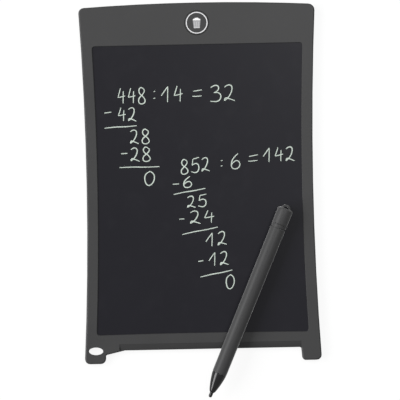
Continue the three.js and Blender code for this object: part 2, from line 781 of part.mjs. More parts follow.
const switchPlunger = () =>
  disc([0, buttonY], PLUNGER_DIAMETER / 2, switchTop - FIT, plungerTop, SMALL_STEPS);

// Board and its components
function circuitBoard() {
  const outline = roundedBox(boardCentre, [BOARD_WIDTH, BOARD_HEIGHT], BOARD_CORNER);
  const holes = boardScrews.map((centre) => disc(centre, pilotRadius, 0, face, SMALL_STEPS));
  return cut(plate(outline, boardBottom, boardTop), ...holes);
}

// A glob of resin over the driver chip.
function driverChip() {
  const r = CHIP_DIAMETER / 2;
  const profile = [[0, 0]];
  for (let i = 0; i < DOME_STEPS; i += 1) {
    const a = (Math.PI / 2) * (i / DOME_STEPS);
    profile.push([r * Math.cos(a), CHIP_RISE * Math.sin(a)]);
  }
  profile.push([0, CHIP_RISE]);
  const geometry = new THREE.LatheGeometry(profile.map(([x, y]) => point(x, y)), SMALL_STEPS);
  return solidOf(geometry.rotateX(Math.PI / 2).translate(CHIP_X, buttonY, boardTop));
}

function boostCoil() {
  const centre = [COIL_X, buttonY - BOARD_HEIGHT / 4];
  const [topDiameter, topThickness] = COIL_TOP;
  const top = boardTop + COIL_HEIGHT;
  const square = roundedBox(centre, [COIL_SIZE, COIL_SIZE], COIL_CORNER);
  const foot = plate(square, boardTop, boardTop + COIL_BASE);
  const winding = disc(centre, COIL_WAIST / 2, boardTop, top, SMALL_STEPS);
  const flange = disc(centre, topDiameter / 2, top - topThickness, top, SMALL_STEPS);
  return join(foot, winding, flange);
}

const capacitor = (index) => {
  const [length, width, height] = CAPACITOR_SIZE;
  const centre = [CAPACITOR_X - CAPACITOR_PITCH * index, buttonY + CAPACITOR_ABOVE_BUTTON];
  return plate(roundedBox(centre, [width, length], CAPACITOR_CORNER), boardTop, boardTop + height);
};

// Lock slider in the back, and the slide switch that it moves
function lockSlider() {
  const knob = slab([knobRest, buttonY], [KNOB_LENGTH, KNOB_WIDTH], KNOB_SINK, FLOOR + LOCK_FLANGE / 2);
  const flange = slab([knobRest, buttonY], [LOCK_FLANGE_LENGTH, LOCK_FLANGE_WIDTH], FLOOR, lockBottom);
  const postTop = lockBottom + LOCK_POST[2];
  const post = slab([knobRest, buttonY], LOCK_POST, lockBottom - LOCK_FLANGE / 2, postTop);
  const pitch = KNOB_LENGTH / (KNOB_RIDGES + 1);
  const grooves = between(-KNOB_LENGTH / 2, KNOB_LENGTH / 2, KNOB_RIDGES + 1).map((x) =>
    slab([knobRest + x, buttonY], [pitch / 2, KNOB_WIDTH + PAST], 0, KNOB_SINK + pitch / 4),
  );
  return cut(join(knob, flange, post), ...grooves);
}

function lockSwitch() {
  const [length, width, height] = LOCK_BODY;
  const slot = [LOCK_POST[0] + LOCK_TRAVEL + 2 * SEAT_GAP, LOCK_POST[1] + 2 * SEAT_GAP];
  return cut(
    slab([lockX, buttonY], [length, width], lockBottom, lockBottom + height),
    slab([lockX, buttonY], slot, lockBottom - PAST, lockBottom + LOCK_POST[2] + FIT),
  );
}

// Cell, contacts and hatch
function coinCell() {
  const r = CELL_DIAMETER / 2;
  const rim = CELL_THICKNESS - CELL_STEP;
  const profile = [
    [0, 0],
    [r - CELL_EASE, 0],
    [r, CELL_EASE],
    [r, rim - CELL_EASE],
    [r - CELL_EASE, rim],
    [CELL_CAP_DIAMETER / 2, rim],
    [CELL_CAP_DIAMETER / 2 - CELL_EASE, CELL_THICKNESS],
    [0, CELL_THICKNESS],
  ];
  const geometry = new THREE.LatheGeometry(profile.map(([x, y]) => point(x, y)), ROUND_STEPS);
  return solidOf(geometry.rotateX(Math.PI / 2).translate(CELL_X, cellY, cellBottom));
}

// A bent strip: its lower line is drawn in X and Z, and it is CONTACT_SHEET thick.
function strip(lower, y) {
  const upper = lower.map((p) => point(p.x, p.y + CONTACT_SHEET)).reverse();
  const geometry = new THREE.ExtrudeGeometry(new THREE.Shape([...lower, ...upper]), {
    depth: CONTACT_WIDTH,
    bevelEnabled: false,
  });
  return solidOf(geometry.rotateX(Math.PI / 2).translate(0, y + CONTACT_WIDTH / 2, 0));
}

const bridgeBottom = contactTop - CONTACT_SHEET;

function negativeContact() {
  return strip(
    [
      point(boardRight - CONTACT_FOOT, boardTop),
      point(boardRight, boardTop),
      point(boardRight + CONTACT_RISE, bridgeBottom),
      point(CELL_X - CELL_DIAMETER / 2 + CONTACT_REACH, bridgeBottom),
    ],
    negativeY,
  );
}

function positiveContact() {
  const arm = strip(
    [
      point(boardRight - CONTACT_FOOT, boardTop),
      point(boardRight, boardTop),
      point(boardRight + CONTACT_RISE, bridgeBottom),
      point(bladeX, bridgeBottom),
    ],
    positiveY,
  );
  const blade = block(
    [bladeX - CONTACT_SHEET, bladeX],
    [positiveY - CONTACT_WIDTH / 2, positiveY + CONTACT_WIDTH / 2],
    [cellBottom + FIT, bridgeBottom + CONTACT_SHEET / 2],
  );
  return join(arm, blade);
}

function batteryHatch() {
  const panel = plate(hatchOutline(0), HATCH_SINK, hatchSeat);
  const press = [-1, 1].map((side) => {
    const centre = [CELL_X + (side * CELL_DIAMETER) / 4, cellY];
    return slab(centre, [RIB, CELL_DIAMETER / 2], hatchSeat - HATCH_THICKNESS / 2, cellBottom);
  });
  const grips = Array.from({ length: GRIP_LINES }, (_, i) => {
    const y = cellY + GRIP_PITCH * (i - (GRIP_LINES - 1) / 2);
    return slab([CELL_X, y], [GRIP_WIDTH, GRIP_PITCH / 2], 0, HATCH_SINK + GRIP_DEPTH);
  });
  const headRadius = SCREW_HEAD / 2 + SCREW_CLEARANCE;
  const neck = HATCH_SINK + SCREW_HEAD_HEIGHT;
  const sink = disc(hatchScrew, headRadius, HATCH_SINK, neck, SMALL_STEPS, pilotRadius);
  const hole = disc(hatchScrew, pilotRadius, 0, face, SMALL_STEPS);
  return cut(join(panel, ...press), ...grips, sink, hole);
}

// Screws stand on their heads: the head's face is at height 0 and the shank runs up.
function screw(countersunk) {
  const shank = SCREW_SHANK / 2;
  const head = SCREW_HEAD / 2;
  const [easeAcross, easeAlong] = SCREW_HEAD_EASE;
  const [pointAcross, pointAlong] = SCREW_POINT;
  const underHead = countersunk ? [] : [[head, SCREW_HEAD_HEIGHT]];
  const profile = [
    [0, 0],
    [head - easeAcross, 0],
    [head, easeAlong],
    ...underHead,
    [shank, SCREW_HEAD_HEIGHT],
    [shank, SCREW_LENGTH - pointAlong],
    [shank - pointAcross, SCREW_LENGTH],
    [0, SCREW_LENGTH],
  ];
  const geometry = new THREE.LatheGeometry(profile.map(([x, y]) => point(x, y)), SMALL_STEPS);
  const body = solidOf(geometry.rotateX(Math.PI / 2));
  const slots = [[SCREW_CROSS_SPAN, SCREW_CROSS], [SCREW_CROSS, SCREW_CROSS_SPAN]];
  return cut(body, ...slots.map((size) => slab([0, 0], size, -PAST, SCREW_CROSS_DEPTH)));
}

// Stylus, drawn along its own Y from the tip at 0 to the tail
const coneStart = NIB_LENGTH;
const coneEnd = coneStart + CONE_LENGTH;
const barrelStart = coneEnd + PLUG_GAP;
const barrelEnd = barrelStart + BARREL_LENGTH;
const capStart = barrelEnd + PLUG_GAP;
const capShoulder = capStart + CAP_LENGTH;
const eyeBase = capShoulder + SHOULDER_LENGTH;

function stylusNib() {
  const r = NIB_DIAMETER / 2;
  const end = NIB_LENGTH + NIB_ROOT - PLUG_FIT;
  const profile = [[0, 0]];
  for (let i = 1; i <= DOME_STEPS; i += 1) {
    const a = (Math.PI / 2) * (i / DOME_STEPS);
    profile.push([r * Math.sin(a), r * (1 - Math.cos(a))]);
  }
  profile.push([r, end], [0, end]);
  return turned(profile, SMALL_STEPS);
}

function stylusCone() {
  const bore = NIB_DIAMETER / 2 + PLUG_FIT;
  const profile = [
    [0, coneStart + NIB_ROOT],
    [bore, coneStart + NIB_ROOT],
    [bore, coneStart],
    [bore + CONE_NECK_WALL, coneStart],
  ];
  const curveStart = coneStart + CONE_NECK_LENGTH;
  for (let i = 0; i <= CURVE_STEPS; i += 1) {
    const t = i / CURVE_STEPS;
    const swell = t + CONE_BULGE * t * (1 - t);
    const y = THREE.MathUtils.lerp(curveStart, coneEnd, t);
    profile.push([(CONE_TIP + (CONE_BASE - CONE_TIP) * swell) / 2, y]);
  }
  const spigot = BARREL_BORE / 2 - PLUG_FIT;
  const end = barrelStart + SPIGOT_LENGTH;
  profile.push([spigot, coneEnd], [spigot, end - SPIGOT_LEAD], [spigot - SPIGOT_LEAD, end], [0, end]);
  return turned(profile, STYLUS_STEPS);
}

const barrelRadius = (y) =>
  THREE.MathUtils.mapLinear(y, barrelStart, barrelEnd, BARREL_NOSE, BARREL_TAIL) / 2;

function stylusBarrel() {
  const bore = BARREL_BORE / 2;
  const grooveEnd = barrelEnd - RING_WIDTH;
  const grooveStart = grooveEnd - GROOVE_WIDTH;
  const outer = [
    [barrelRadius(barrelStart) - STYLUS_EASE, barrelStart],
    [barrelRadius(barrelStart), barrelStart + STYLUS_EASE],
    [barrelRadius(grooveStart), grooveStart],
    [barrelRadius(grooveStart) - GROOVE_DEPTH, grooveStart],
    [barrelRadius(grooveStart) - GROOVE_DEPTH, grooveEnd],
    [barrelRadius(grooveEnd), grooveEnd],
    [barrelRadius(barrelEnd), barrelEnd - STYLUS_EASE],
    [barrelRadius(barrelEnd) - STYLUS_EASE, barrelEnd],
  ];
  return turned([[bore, barrelStart], ...outer, [bore, barrelEnd], [bore, barrelStart]], STYLUS_STEPS);
}

function stylusCap() {
  const r = CAP_DIAMETER / 2;
  const spigot = BARREL_BORE / 2 - PLUG_FIT;
  const low = capStart - PLUG_GAP - SPIGOT_LENGTH;
  const [easeAcross, easeAlong] = SHOULDER_EASE;
  const profile = [
    [0, low],
    [spigot - SPIGOT_LEAD, low],
    [spigot, low + SPIGOT_LEAD],
    [spigot, capStart],
    [r - STYLUS_EASE, capStart],
    [r, capStart + STYLUS_EASE],
    [r, capShoulder],
    [r - easeAcross, capShoulder + easeAlong],
    [EYE_WIDTH / 2, eyeBase],
    [0, eyeBase],
  ];
  const body = turned(profile, STYLUS_STEPS);
  const eyeTop = eyeBase + EYE_RISE;
  const half = EYE_WIDTH / 2;
  const outline = rounded([
    { x: -half, y: capShoulder, r: 0 },
    { x: half, y: capShoulder, r: 0 },
    { x: half, y: eyeTop, r: EYE_CORNER },
    { x: -half, y: eyeTop, r: EYE_CORNER },
  ]);
  const eye = easedPlate(outline, -EYE_THICKNESS / 2, EYE_THICKNESS / 2, EYE_EASE, 1);
  const hole = plate(roundedBox([0, eyeBase], EYE_HOLE, EYE_HOLE_CORNER), -CAP_DIAMETER, CAP_DIAMETER);
  return cut(join(body, eye), hole);
}

// The stylus lies on the sill of the window and its cap on the film.
function placeStylus(group) {
  const yaw = THREE.MathUtils.degToRad(STYLUS_LEAN - 90);
  const tip = point(rightFootInner - TIP_FROM_RIGHT_FOOT, base - TIP_BELOW_FEET);
  const atSill = (windowBottom - tip.y) / Math.cos(yaw);
  const heightAtSill = face + SEAT_GAP + barrelRadius(atSill);
  const heightAtCap = filmTop + SEAT_GAP + CAP_DIAMETER / 2;
  const tilt = Math.asin((heightAtCap - heightAtSill) / (capShoulder - atSill));
  group.position.set(tip.x, tip.y, heightAtSill - atSill * Math.sin(tilt));
  group.rotation.set(tilt, 0, yaw, "ZXY");
}

// Finishes
const finishes = {
  bezel: { color: 0x4b4b4d, roughness: 0.55, metalness: 0 },
  back: { color: 0x444446, roughness: 0.65, metalness: 0 },
  film: { color: 0x313136, roughness: 0.25, metalness: 0 },
  dark: { color: 0x1b1b1d, roughness: 0.7, metalness: 0 },
  tape: { color: 0x2a2a2a, roughness: 0.9, metalness: 0 },
  plate: { color: 0x55575a, roughness: 0.8, metalness: 0 },
  flex: { color: 0xb8752e, roughness: 0.5, metalness: 0 },
  board: { color: 0x1f6b3c, roughness: 0.5, metalness: 0 },
  metal: { color: 0xc3c4c6, roughness: 0.3, metalness: 1 },
  gloss: { color: 0x0f0f10, roughness: 0.15, metalness: 0 },
  ceramic: { color: 0x9a7b5c, roughness: 0.5, metalness: 0 },
  stylus: { color: 0x434345, roughness: 0.45, metalness: 0 },
};

function addPiece(group, name, solid, finish) {
  const mesh = new THREE.Mesh(geometryOf(solid), new THREE.MeshStandardMaterial(finishes[finish]));
  mesh.name = name;
  group.add(mesh);
  return mesh;
}

const tablet = new THREE.Group();
addPiece(tablet, "front_shell", frontShell(), "bezel");
addPiece(tablet, "back_shell", backShell(), "back");
addPiece(tablet, "film_tape_frame", tapeFrame(), "tape");
addPiece(tablet, "writing_film", writingFilm(), "film");
addPiece(tablet, "absorber_sheet", absorberSheet(), "dark");
addPiece(tablet, "backing_plate", backingPlate(), "plate");
addPiece(tablet, "flex_tail", flexTail(), "flex");
addPiece(tablet, "erase_button", eraseButton(), "bezel");
addPiece(tablet, "switch_housing", switchHousing(), "dark");
addPiece(tablet, "switch_plunger", switchPlunger(), "metal");
addPiece(tablet, "circuit_board", circuitBoard(), "board");
addPiece(tablet, "driver_chip", driverChip(), "dark");
addPiece(tablet, "boost_coil", boostCoil(), "dark");
for (let i = 0; i < 3; i += 1) addPiece(tablet, `capacitor_${i + 1}`, capacitor(i), "ceramic");
addPiece(tablet, "lock_switch", lockSwitch(), "metal");
addPiece(tablet, "lock_slider", lockSlider(), "dark");
addPiece(tablet, "coin_cell", coinCell(), "metal");
addPiece(tablet, "contact_positive", positiveContact(), "metal");
addPiece(tablet, "contact_negative", negativeContact(), "metal");
addPiece(tablet, "battery_hatch", batteryHatch(), "back");
addPiece(tablet, "hatch_screw", screw(true), "metal").position.set(...hatchScrew, HATCH_SINK);
boardScrews.forEach((centre, i) => {
  const mesh = addPiece(tablet, `board_screw_${i + 1}`, screw(false), "metal");
  mesh.position.set(...centre, boardTop + SCREW_HEAD_HEIGHT);
  mesh.rotation.x = Math.PI;
});

const stylus = new THREE.Group();
addPiece(stylus, "stylus_nib", stylusNib(), "gloss");
addPiece(stylus, "stylus_cone", stylusCone(), "gloss");
addPiece(stylus, "stylus_barrel", stylusBarrel(), "stylus");
addPiece(stylus, "stylus_cap", stylusCap(), "stylus");
placeStylus(stylus);
tablet.add(stylus);

export default tablet;
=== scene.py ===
# %% [markdown]
# # A writing tablet and its stylus
# The tablet is a slim sandwich: two dark plastic shells hold a sheet of liquid crystal film that turns pale
# where the stylus presses it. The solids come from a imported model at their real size, and this lesson gives
# them the finish of the real thing: satin plastic, almost black film, pale pen strokes, a printed button and
# a smooth turned stylus. Everything is in metres, with the tablet flat on its back and the film facing +Z.

import math

import bpy
from mathutils import Matrix, Vector


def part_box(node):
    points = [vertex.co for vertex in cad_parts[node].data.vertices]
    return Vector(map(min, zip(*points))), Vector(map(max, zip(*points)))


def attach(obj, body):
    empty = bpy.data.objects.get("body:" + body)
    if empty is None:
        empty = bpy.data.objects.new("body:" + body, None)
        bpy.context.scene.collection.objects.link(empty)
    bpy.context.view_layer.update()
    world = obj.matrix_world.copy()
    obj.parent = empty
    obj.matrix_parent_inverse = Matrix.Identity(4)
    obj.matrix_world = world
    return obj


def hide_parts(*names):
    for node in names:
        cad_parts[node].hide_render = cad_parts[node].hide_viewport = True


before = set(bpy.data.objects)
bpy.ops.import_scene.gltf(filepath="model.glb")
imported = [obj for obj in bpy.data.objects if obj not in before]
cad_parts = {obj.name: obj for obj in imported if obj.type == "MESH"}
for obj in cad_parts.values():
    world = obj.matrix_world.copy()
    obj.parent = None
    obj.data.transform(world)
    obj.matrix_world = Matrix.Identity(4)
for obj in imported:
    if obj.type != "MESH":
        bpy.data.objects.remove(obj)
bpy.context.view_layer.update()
MM = 0.001

# %% [markdown]
# ## Small tools
# Every piece starts from a clean slate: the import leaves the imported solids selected, and an operator acts on
# all that is selected. So a new piece is always made the only selected and active object first.

# %% Pick one object and work on it
def pick(obj):
    """Makes obj the only selected object and the active one."""
    bpy.ops.object.select_all(action="DESELECT")
    obj.select_set(True)
    bpy.context.view_layer.objects.active = obj
    return obj


def apply_modifier(obj, kind, **settings):
    """Adds one modifier with its settings and applies it to the mesh."""
    pick(obj)
    modifier = obj.modifiers.new(kind.title(), kind)
    for name, value in settings.items():
        setattr(modifier, name, value)
    bpy.ops.object.modifier_apply(modifier=modifier.name)
    return obj


def settle(obj):
    """Moves the object's place into its mesh, so that the object itself sits at the origin."""
    pick(obj)
    bpy.ops.object.transform_apply(location=True, rotation=True, scale=True)
    return obj


# %% [markdown]
# In edit mode an operator works on the selected part of the mesh. Selecting by hand becomes selecting by
# place here: a test on each corner or edge says whether the next operator takes it.

# %% Select part of a mesh by its place
def leave_edit():
    bpy.ops.object.mode_set(mode="OBJECT")


def choose(obj, kind, test):
    """Enters edit mode with only those parts selected that pass the test.

    VERT tests a corner's place, EDGE the places of both ends.
    """
    leave_edit()
    pick(obj)
    bpy.ops.object.mode_set(mode="EDIT")
    bpy.ops.mesh.select_mode(type=kind)
    bpy.ops.mesh.select_all(action="DESELECT")
    leave_edit()
    corners = obj.data.vertices
    if kind == "VERT":
        for corner in corners:
            corner.select = test(corner.co)
    else:
        for edge in obj.data.edges:
            edge.select = test(*(corners[index].co for index in edge.vertices))
    bpy.ops.object.mode_set(mode="EDIT")


# %% [markdown]
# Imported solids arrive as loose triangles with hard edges. The real shells have soft moulded rims, so each
# visible solid gets a copy whose corners are merged and whose flat stretches are joined into whole faces.
# Smooth shading then runs round the rims only, and weighted normals keep the big faces perfectly flat.

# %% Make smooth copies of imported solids
MERGE = 0.002 * MM
FLAT_BELOW = math.radians(0.3)


def shade_smooth(obj, degrees):
    """Smooth shading over edges flatter than an angle; the sharper ones stay sharp."""
    pick(obj)
    bpy.ops.object.shade_smooth_by_angle(angle=math.radians(degrees))


def smooth_copy(node, name):
    """A merged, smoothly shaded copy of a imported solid, which stands for it in the picture."""
    piece = bpy.data.objects.new(name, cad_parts[node].data.copy())
    bpy.context.scene.collection.objects.link(piece)
    piece.data.materials.clear()
    pick(piece)
    bpy.ops.object.mode_set(mode="EDIT")
    bpy.ops.mesh.select_all(action="SELECT")
    bpy.ops.mesh.remove_doubles(threshold=MERGE)
    bpy.ops.mesh.dissolve_limited(angle_limit=FLAT_BELOW)
    leave_edit()
    shade_smooth(piece, degrees=35)
    apply_modifier(piece, "WEIGHTED_NORMAL", keep_sharp=True)
    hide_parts(node)
    print(name, "faces:", len(piece.data.polygons))
    return piece


# %% [markdown]
# ## Writing shader maths as expressions
# A node tree is easier to read as a formula. This class wraps one output socket: arithmetic on it adds Math
# nodes, and its one method adds any other node, first with its settings and then with the values or links
# of its sockets. Colours are blended by a Mix node, because a Math node would turn them grey.

# %% Wrap sockets so that they can be added and multiplied
class Signal:
    """An output of a material's node; arithmetic on it adds Math nodes."""

    def __init__(self, tree, socket=None):
        self.tree = tree
        self.socket = socket

    def node(self, kind, settings=None, inputs=None, output=0):
        """Adds a node, sets it up and feeds its sockets with values or signals."""
        made = self.tree.nodes.new(kind)
        for name, value in (settings or {}).items():
            if name == "stops":
                ramp_stops(made.color_ramp, value)
            else:
                setattr(made, name, value)
        for name, value in (inputs or {}).items():
            if isinstance(value, Signal):
                self.tree.links.new(value.socket, made.inputs[name])
            else:
                made.inputs[name].default_value = value
        return Signal(self.tree, made.outputs[output])

    def maths(self, operation, *values):
        return self.node("ShaderNodeMath", {"operation": operation}, dict(enumerate(values)))

    def mix(self, dark, light):
        """Blends two colours, with this signal as the share of the second."""
        inputs = {0: self, 6: dark, 7: light}
        return self.node("ShaderNodeMix", {"data_type": "RGBA"}, inputs, output=2)

    def __add__(self, other):
        return self.maths("ADD", self, other)

    __radd__ = __add__

    def __sub__(self, other):
        return self.maths("SUBTRACT", self, other)

    def __rsub__(self, other):
        return self.maths("SUBTRACT", other, self)

    def __mul__(self, other):
        return self.maths("MULTIPLY", self, other)

    __rmul__ = __mul__


def ramp_stops(ramp, stops):
    """Gives a colour ramp its stops, as pairs of a place and a grey level."""
    while len(ramp.elements) < len(stops):
        ramp.elements.new(0.5)
    for element, (place, level) in zip(ramp.elements, stops):
        element.position = place
        element.color = (level, level, level, 1)


# %% [markdown]
# Each finish is a Principled shader. What is the same all over is set on its own socket. What varies comes
# from noise on Object coordinates, in real lengths: a noise of scale 1000 has grains of about a millimetre.

# %% Start a finish
def new_finish(name, **constants):
    """A material with a Principled shader; constants are its sockets, with _ for a space."""
    material = bpy.data.materials.new(name)
    material.use_nodes = True
    shader = material.node_tree.nodes["Principled BSDF"]
    for socket, value in constants.items():
        shader.inputs[socket.replace("_", " ")].default_value = value
    print("finish:", name)
    return material, shader, Signal(material.node_tree)


def shade(colour, factor=1.0):
    """A colour made darker or lighter by a factor, with the alpha that a socket wants."""
    return [channel * factor for channel in colour] + [1]


def object_place(start):
    return start.node("ShaderNodeTexCoord", output="Object")


def grain(start, size, detail=3.0, roughness=0.5):
    """Noise in object space whose grains are about size metres across, from 0 to 1."""
    inputs = {"Vector": object_place(start), "Scale": 1 / size, "Detail": detail, "Roughness": roughness}
    return start.node("ShaderNodeTexNoise", inputs=inputs)


def feed(shader, **signals):
    """Links signals to the shader's sockets, with _ for a space."""
    for socket, signal in signals.items():
        signal.tree.links.new(signal.socket, shader.inputs[socket.replace("_", " ")])


def relief(start, height, depth, strength=1.0):
    """A Bump node for a height signal from 0 to 1 that is depth metres deep."""
    inputs = {"Height": height, "Distance": depth, "Strength": strength}
    return start.node("ShaderNodeBump", inputs=inputs)


def wear(start, size, low, high):
    """A soft mask of patches about size across, where the noise lies between low and high."""
    inputs = {"Fac": grain(start, size, detail=4.0)}
    return start.node("ShaderNodeValToRGB", {"stops": [(low, 0), (high, 1)]}, inputs)


# %% [markdown]
# ## Plastics
# The bezel is spark-eroded moulded plastic: dark grey, satin, with a grain much finer than a millimetre. Its
# colour drifts a little over the surface, and handling polishes it in patches, so its roughness varies. Rims
# and flanks get painted shade: their colour is darkened below the face, which stands in for the light they
# miss as they face sideways. The height in Object coordinates tells how far a point lies below the face.

# %% Finishes of the shells
# Painted shade: how deep below the face the flank darkening reaches, and how dark the flank colour gets.
SHADED_FLANK_DEPTH = 0.9 * MM
SHADED_FLANK_SHARE = 0.6


def below(start, level, depth):
    """0 at a level in metres and above it, rising to 1 at depth below it."""
    height = start.node("ShaderNodeSeparateXYZ", inputs={"Vector": object_place(start)}, output="Z")
    settings = {"operation": "MULTIPLY", "use_clamp": True}
    return start.node("ShaderNodeMath", settings, {0: level - height, 1: 1 / depth})


def shell_finish(name, colour, roughness, grain_size, face_level):
    material, shader, start = new_finish(name, Specular_IOR_Level=0.42)
    drift = grain(start, 45 * MM, detail=2.0)
    texture = grain(start, grain_size, detail=4.0, roughness=0.65)
    polish = wear(start, 30 * MM, low=0.42, high=0.72)
    face_colour = (drift * 0.6 + texture * 0.4).mix(shade(colour, 0.88), shade(colour, 1.12))
    feed(
        shader,
        # painted shade: below the face the colour darkens towards the flank colour
        Base_Color=below(start, face_level, SHADED_FLANK_DEPTH).mix(face_colour, shade(colour, SHADED_FLANK_SHARE)),
        Roughness=roughness + texture * 0.1 - polish * 0.07,
        Normal=relief(start, texture, 0.03 * MM, strength=0.8),
    )
    return material


BEZEL_GREY = (0.031, 0.031, 0.0317)
BUTTON_GREY = (0.0285, 0.0285, 0.0292)
BACK_GREY = (0.038, 0.038, 0.039)
face_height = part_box("front_shell")[1].z
parting_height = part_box("back_shell")[1].z
FACE_GRAIN = 0.28 * MM
BACK_GRAIN = 0.4 * MM
bezel_plastic = shell_finish("bezel_plastic", BEZEL_GREY, 0.46, FACE_GRAIN, face_height)
button_plastic = shell_finish("button_plastic", BUTTON_GREY, 0.48, FACE_GRAIN, face_height)
back_plastic = shell_finish("back_plastic", BACK_GREY, 0.55, BACK_GRAIN, parting_height)
print("face at", round(face_height / MM, 2), "mm, back shell up to", round(parting_height / MM, 2), "mm")

# %% [markdown]
# The slider and the resin parts are plain black plastic with a coarser matt surface. The polished nose of the
# stylus is gloss black with only hairline scratches and the faint smudges of fingers.

# %% Finishes of black plastics
def black_plastic(name, level, roughness, grain_size):
    material, shader, start = new_finish(name)
    texture = grain(start, grain_size, detail=5.0)
    darker = (level * 0.8, level * 0.8, level * 0.82, 1)
    lighter = (level * 1.2, level * 1.2, level * 1.22, 1)
    feed(
        shader,
        Base_Color=texture.mix(darker, lighter),
        Roughness=roughness + texture * 0.15 - 0.075,
        Normal=relief(start, texture, 0.03 * MM, strength=0.4),
    )
    return material


matt_black = black_plastic("matt_black_plastic", level=0.022, roughness=0.6, grain_size=0.35 * MM)
resin_black = black_plastic("black_resin", level=0.012, roughness=0.42, grain_size=0.8 * MM)


def polished_black():
    material, shader, start = new_finish("polished_black", Specular_IOR_Level=0.5)
    smudge = wear(start, 6 * MM, low=0.4, high=0.75)
    hairline = grain(start, 0.12 * MM, detail=2.0)
    feed(
        shader,
        Base_Color=smudge.mix((0.006, 0.006, 0.007, 1), (0.009, 0.009, 0.01, 1)),
        Roughness=0.17 + smudge * 0.05,
        Normal=relief(start, hairline, 0.004 * MM, strength=0.3),
    )
    return material


nose_black = polished_black()

# %% [markdown]
# The stylus is satin plastic, smoother than the shells. Long faint flow lines run along it from the moulding,
# which are drawn by noise stretched along the barrel through a Mapping node.

# %% Finish of the stylus
STYLUS_GREY = (0.047, 0.047, 0.048)
FLOW_LINE = MM / 0.9


def streaks(start, size, stretch, turn=0.0):
    """Noise about size across, drawn out by a factor along X or along a line turned from X."""
    settings = {"vector_type": "TEXTURE"}
    inputs = {"Vector": object_place(start), "Rotation": (0, 0, turn), "Scale": (stretch, 1, 1)}
    along = start.node("ShaderNodeMapping", settings, inputs)
    return start.node("ShaderNodeTexNoise", inputs={"Vector": along, "Scale": 1 / size, "Detail": 3.0})


def stylus_finish(lean):
    """Satin plastic whose flow lines lean from X by an angle, as the stylus does."""
    constants = {"Specular_IOR_Level": 0.16, "Sheen_Weight": 0.8, "Sheen_Roughness": 0.35}
    material, shader, start = new_finish("stylus_plastic", **constants)
    flow = streaks(start, FLOW_LINE, stretch=30, turn=lean)
    texture = grain(start, 0.2 * MM, detail=3.0)
    feed(
        shader,
        Base_Color=flow.mix(shade(STYLUS_GREY, 0.92), shade(STYLUS_GREY, 1.08)),
        Roughness=0.38 + flow * 0.06 + texture * 0.05,
        Normal=relief(start, texture, 0.014 * MM, strength=0.5),
    )
    return material


# %% [markdown]
# ## Film, ink and print
# The film is smooth and almost black with a faint blue tint. Erased strokes leave faint cloudy traces in the
# liquid crystal, and the satin top sheet has a very fine tooth that keeps the stylus from slipping.

# %% Finish of the writing film
def film_finish():
    material, shader, start = new_finish("writing_film", Specular_IOR_Level=0.34)
    cloud = grain(start, 38 * MM, detail=3.0)
    tooth = grain(start, 0.12 * MM, detail=2.0)
    traces = wear(start, 9 * MM, low=0.5, high=0.8)
    share = cloud * 0.6 + tooth * 0.25 + traces * 0.15
    feed(
        shader,
        Base_Color=share.mix((0.005, 0.0048, 0.0082, 1), (0.0078, 0.0075, 0.0116, 1)),
        Roughness=0.3 + tooth * 0.06 + traces * 0.03,
        Normal=relief(start, tooth, 0.005 * MM, strength=0.3),
    )
    return material


writing_film_finish = film_finish()

# %% [markdown]
# Where the stylus pressed, the crystal turns to a state that reflects pale green-white light. The strokes are
# brightest where the pressure was high, so their colour wanders slowly along them and has a fine grain.

# %% Finish of the pen strokes
def ink_finish():
    material, shader, start = new_finish("pale_strokes", Specular_IOR_Level=0.3)
    pressure = grain(start, 3.5 * MM, detail=2.0)
    speckle = grain(start, 0.15 * MM, detail=2.0)
    share = pressure * 0.7 + speckle * 0.3
    feed(
        shader,
        Base_Color=share.mix((0.36, 0.42, 0.365, 1), (0.66, 0.735, 0.67, 1)),
        Roughness=0.4 + speckle * 0.1,
    )
    return material


stroke_finish = ink_finish()

# %% [markdown]
# The button's ring and pictogram are pad printed. Opaque paint covers the plastic, a little thinner in
# places, and a fine relief keeps it from looking like paper.

# %% Finishes of the print
def print_finish(name, colour):
    material, shader, start = new_finish(name, Specular_IOR_Level=0.4)
    cover = grain(start, 0.25 * MM, detail=4.0)
    feed(
        shader,
        Base_Color=cover.mix(shade(colour, 0.86), shade(colour)),
        Roughness=0.5 + cover * 0.1,
        Normal=relief(start, cover, 0.006 * MM, strength=0.4),
    )
    return material


print_white = print_finish("print_white", (0.86, 0.86, 0.86))
print_light_grey = print_finish("print_light_grey", (0.76, 0.76, 0.77))
print_pale_grey = print_finish("print_pale_grey", (0.5, 0.5, 0.51))
print_grey = print_finish("print_grey", (0.34, 0.34, 0.35))

# %% [markdown]
# ## Metals and the parts inside
# Nickel plate on the screws and contacts shows fine brushing, and so does the steel of the cell. The same
# stretched noise as on the stylus makes it, and a little tarnish darkens it in spots.

# %% Finishes of metal
def plated_metal(name, colour, roughness, line):
    material, shader, start = new_finish(name, Metallic=1.0)
    brushing = streaks(start, line, stretch=25)
    tarnish = wear(start, 4 * MM, low=0.45, high=0.8)
    feed(
        shader,
        Base_Color=tarnish.mix(shade(colour), shade(colour, 0.82)),
        Roughness=roughness + brushing * 0.15 + tarnish * 0.08,
        Normal=relief(start, brushing, 0.004 * MM, strength=0.3),
    )
    return material


nickel = plated_metal("nickel_plate", (0.56, 0.55, 0.53), roughness=0.26, line=0.05 * MM)
cell_steel = plated_metal("cell_steel", (0.62, 0.62, 0.62), roughness=0.22, line=0.08 * MM)

# %% [markdown]
# The board has solder mask with faint copper runs under it, and the flexible tail is amber polyimide with
# rows of conductors. Both are drawn by a wave texture whose crests a ramp cuts to bands.

# %% Finishes of the board and its tail
def lines(start, direction, scale, stops, distortion=0.0):
    """Bands across a surface: 0 below the first of two stops on the wave and 1 above the second."""
    inputs = {"Vector": object_place(start), "Scale": scale, "Distortion": distortion}
    bands = start.node("ShaderNodeTexWave", {"bands_direction": direction}, inputs)
    return start.node("ShaderNodeValToRGB", {"stops": stops}, {"Fac": bands})


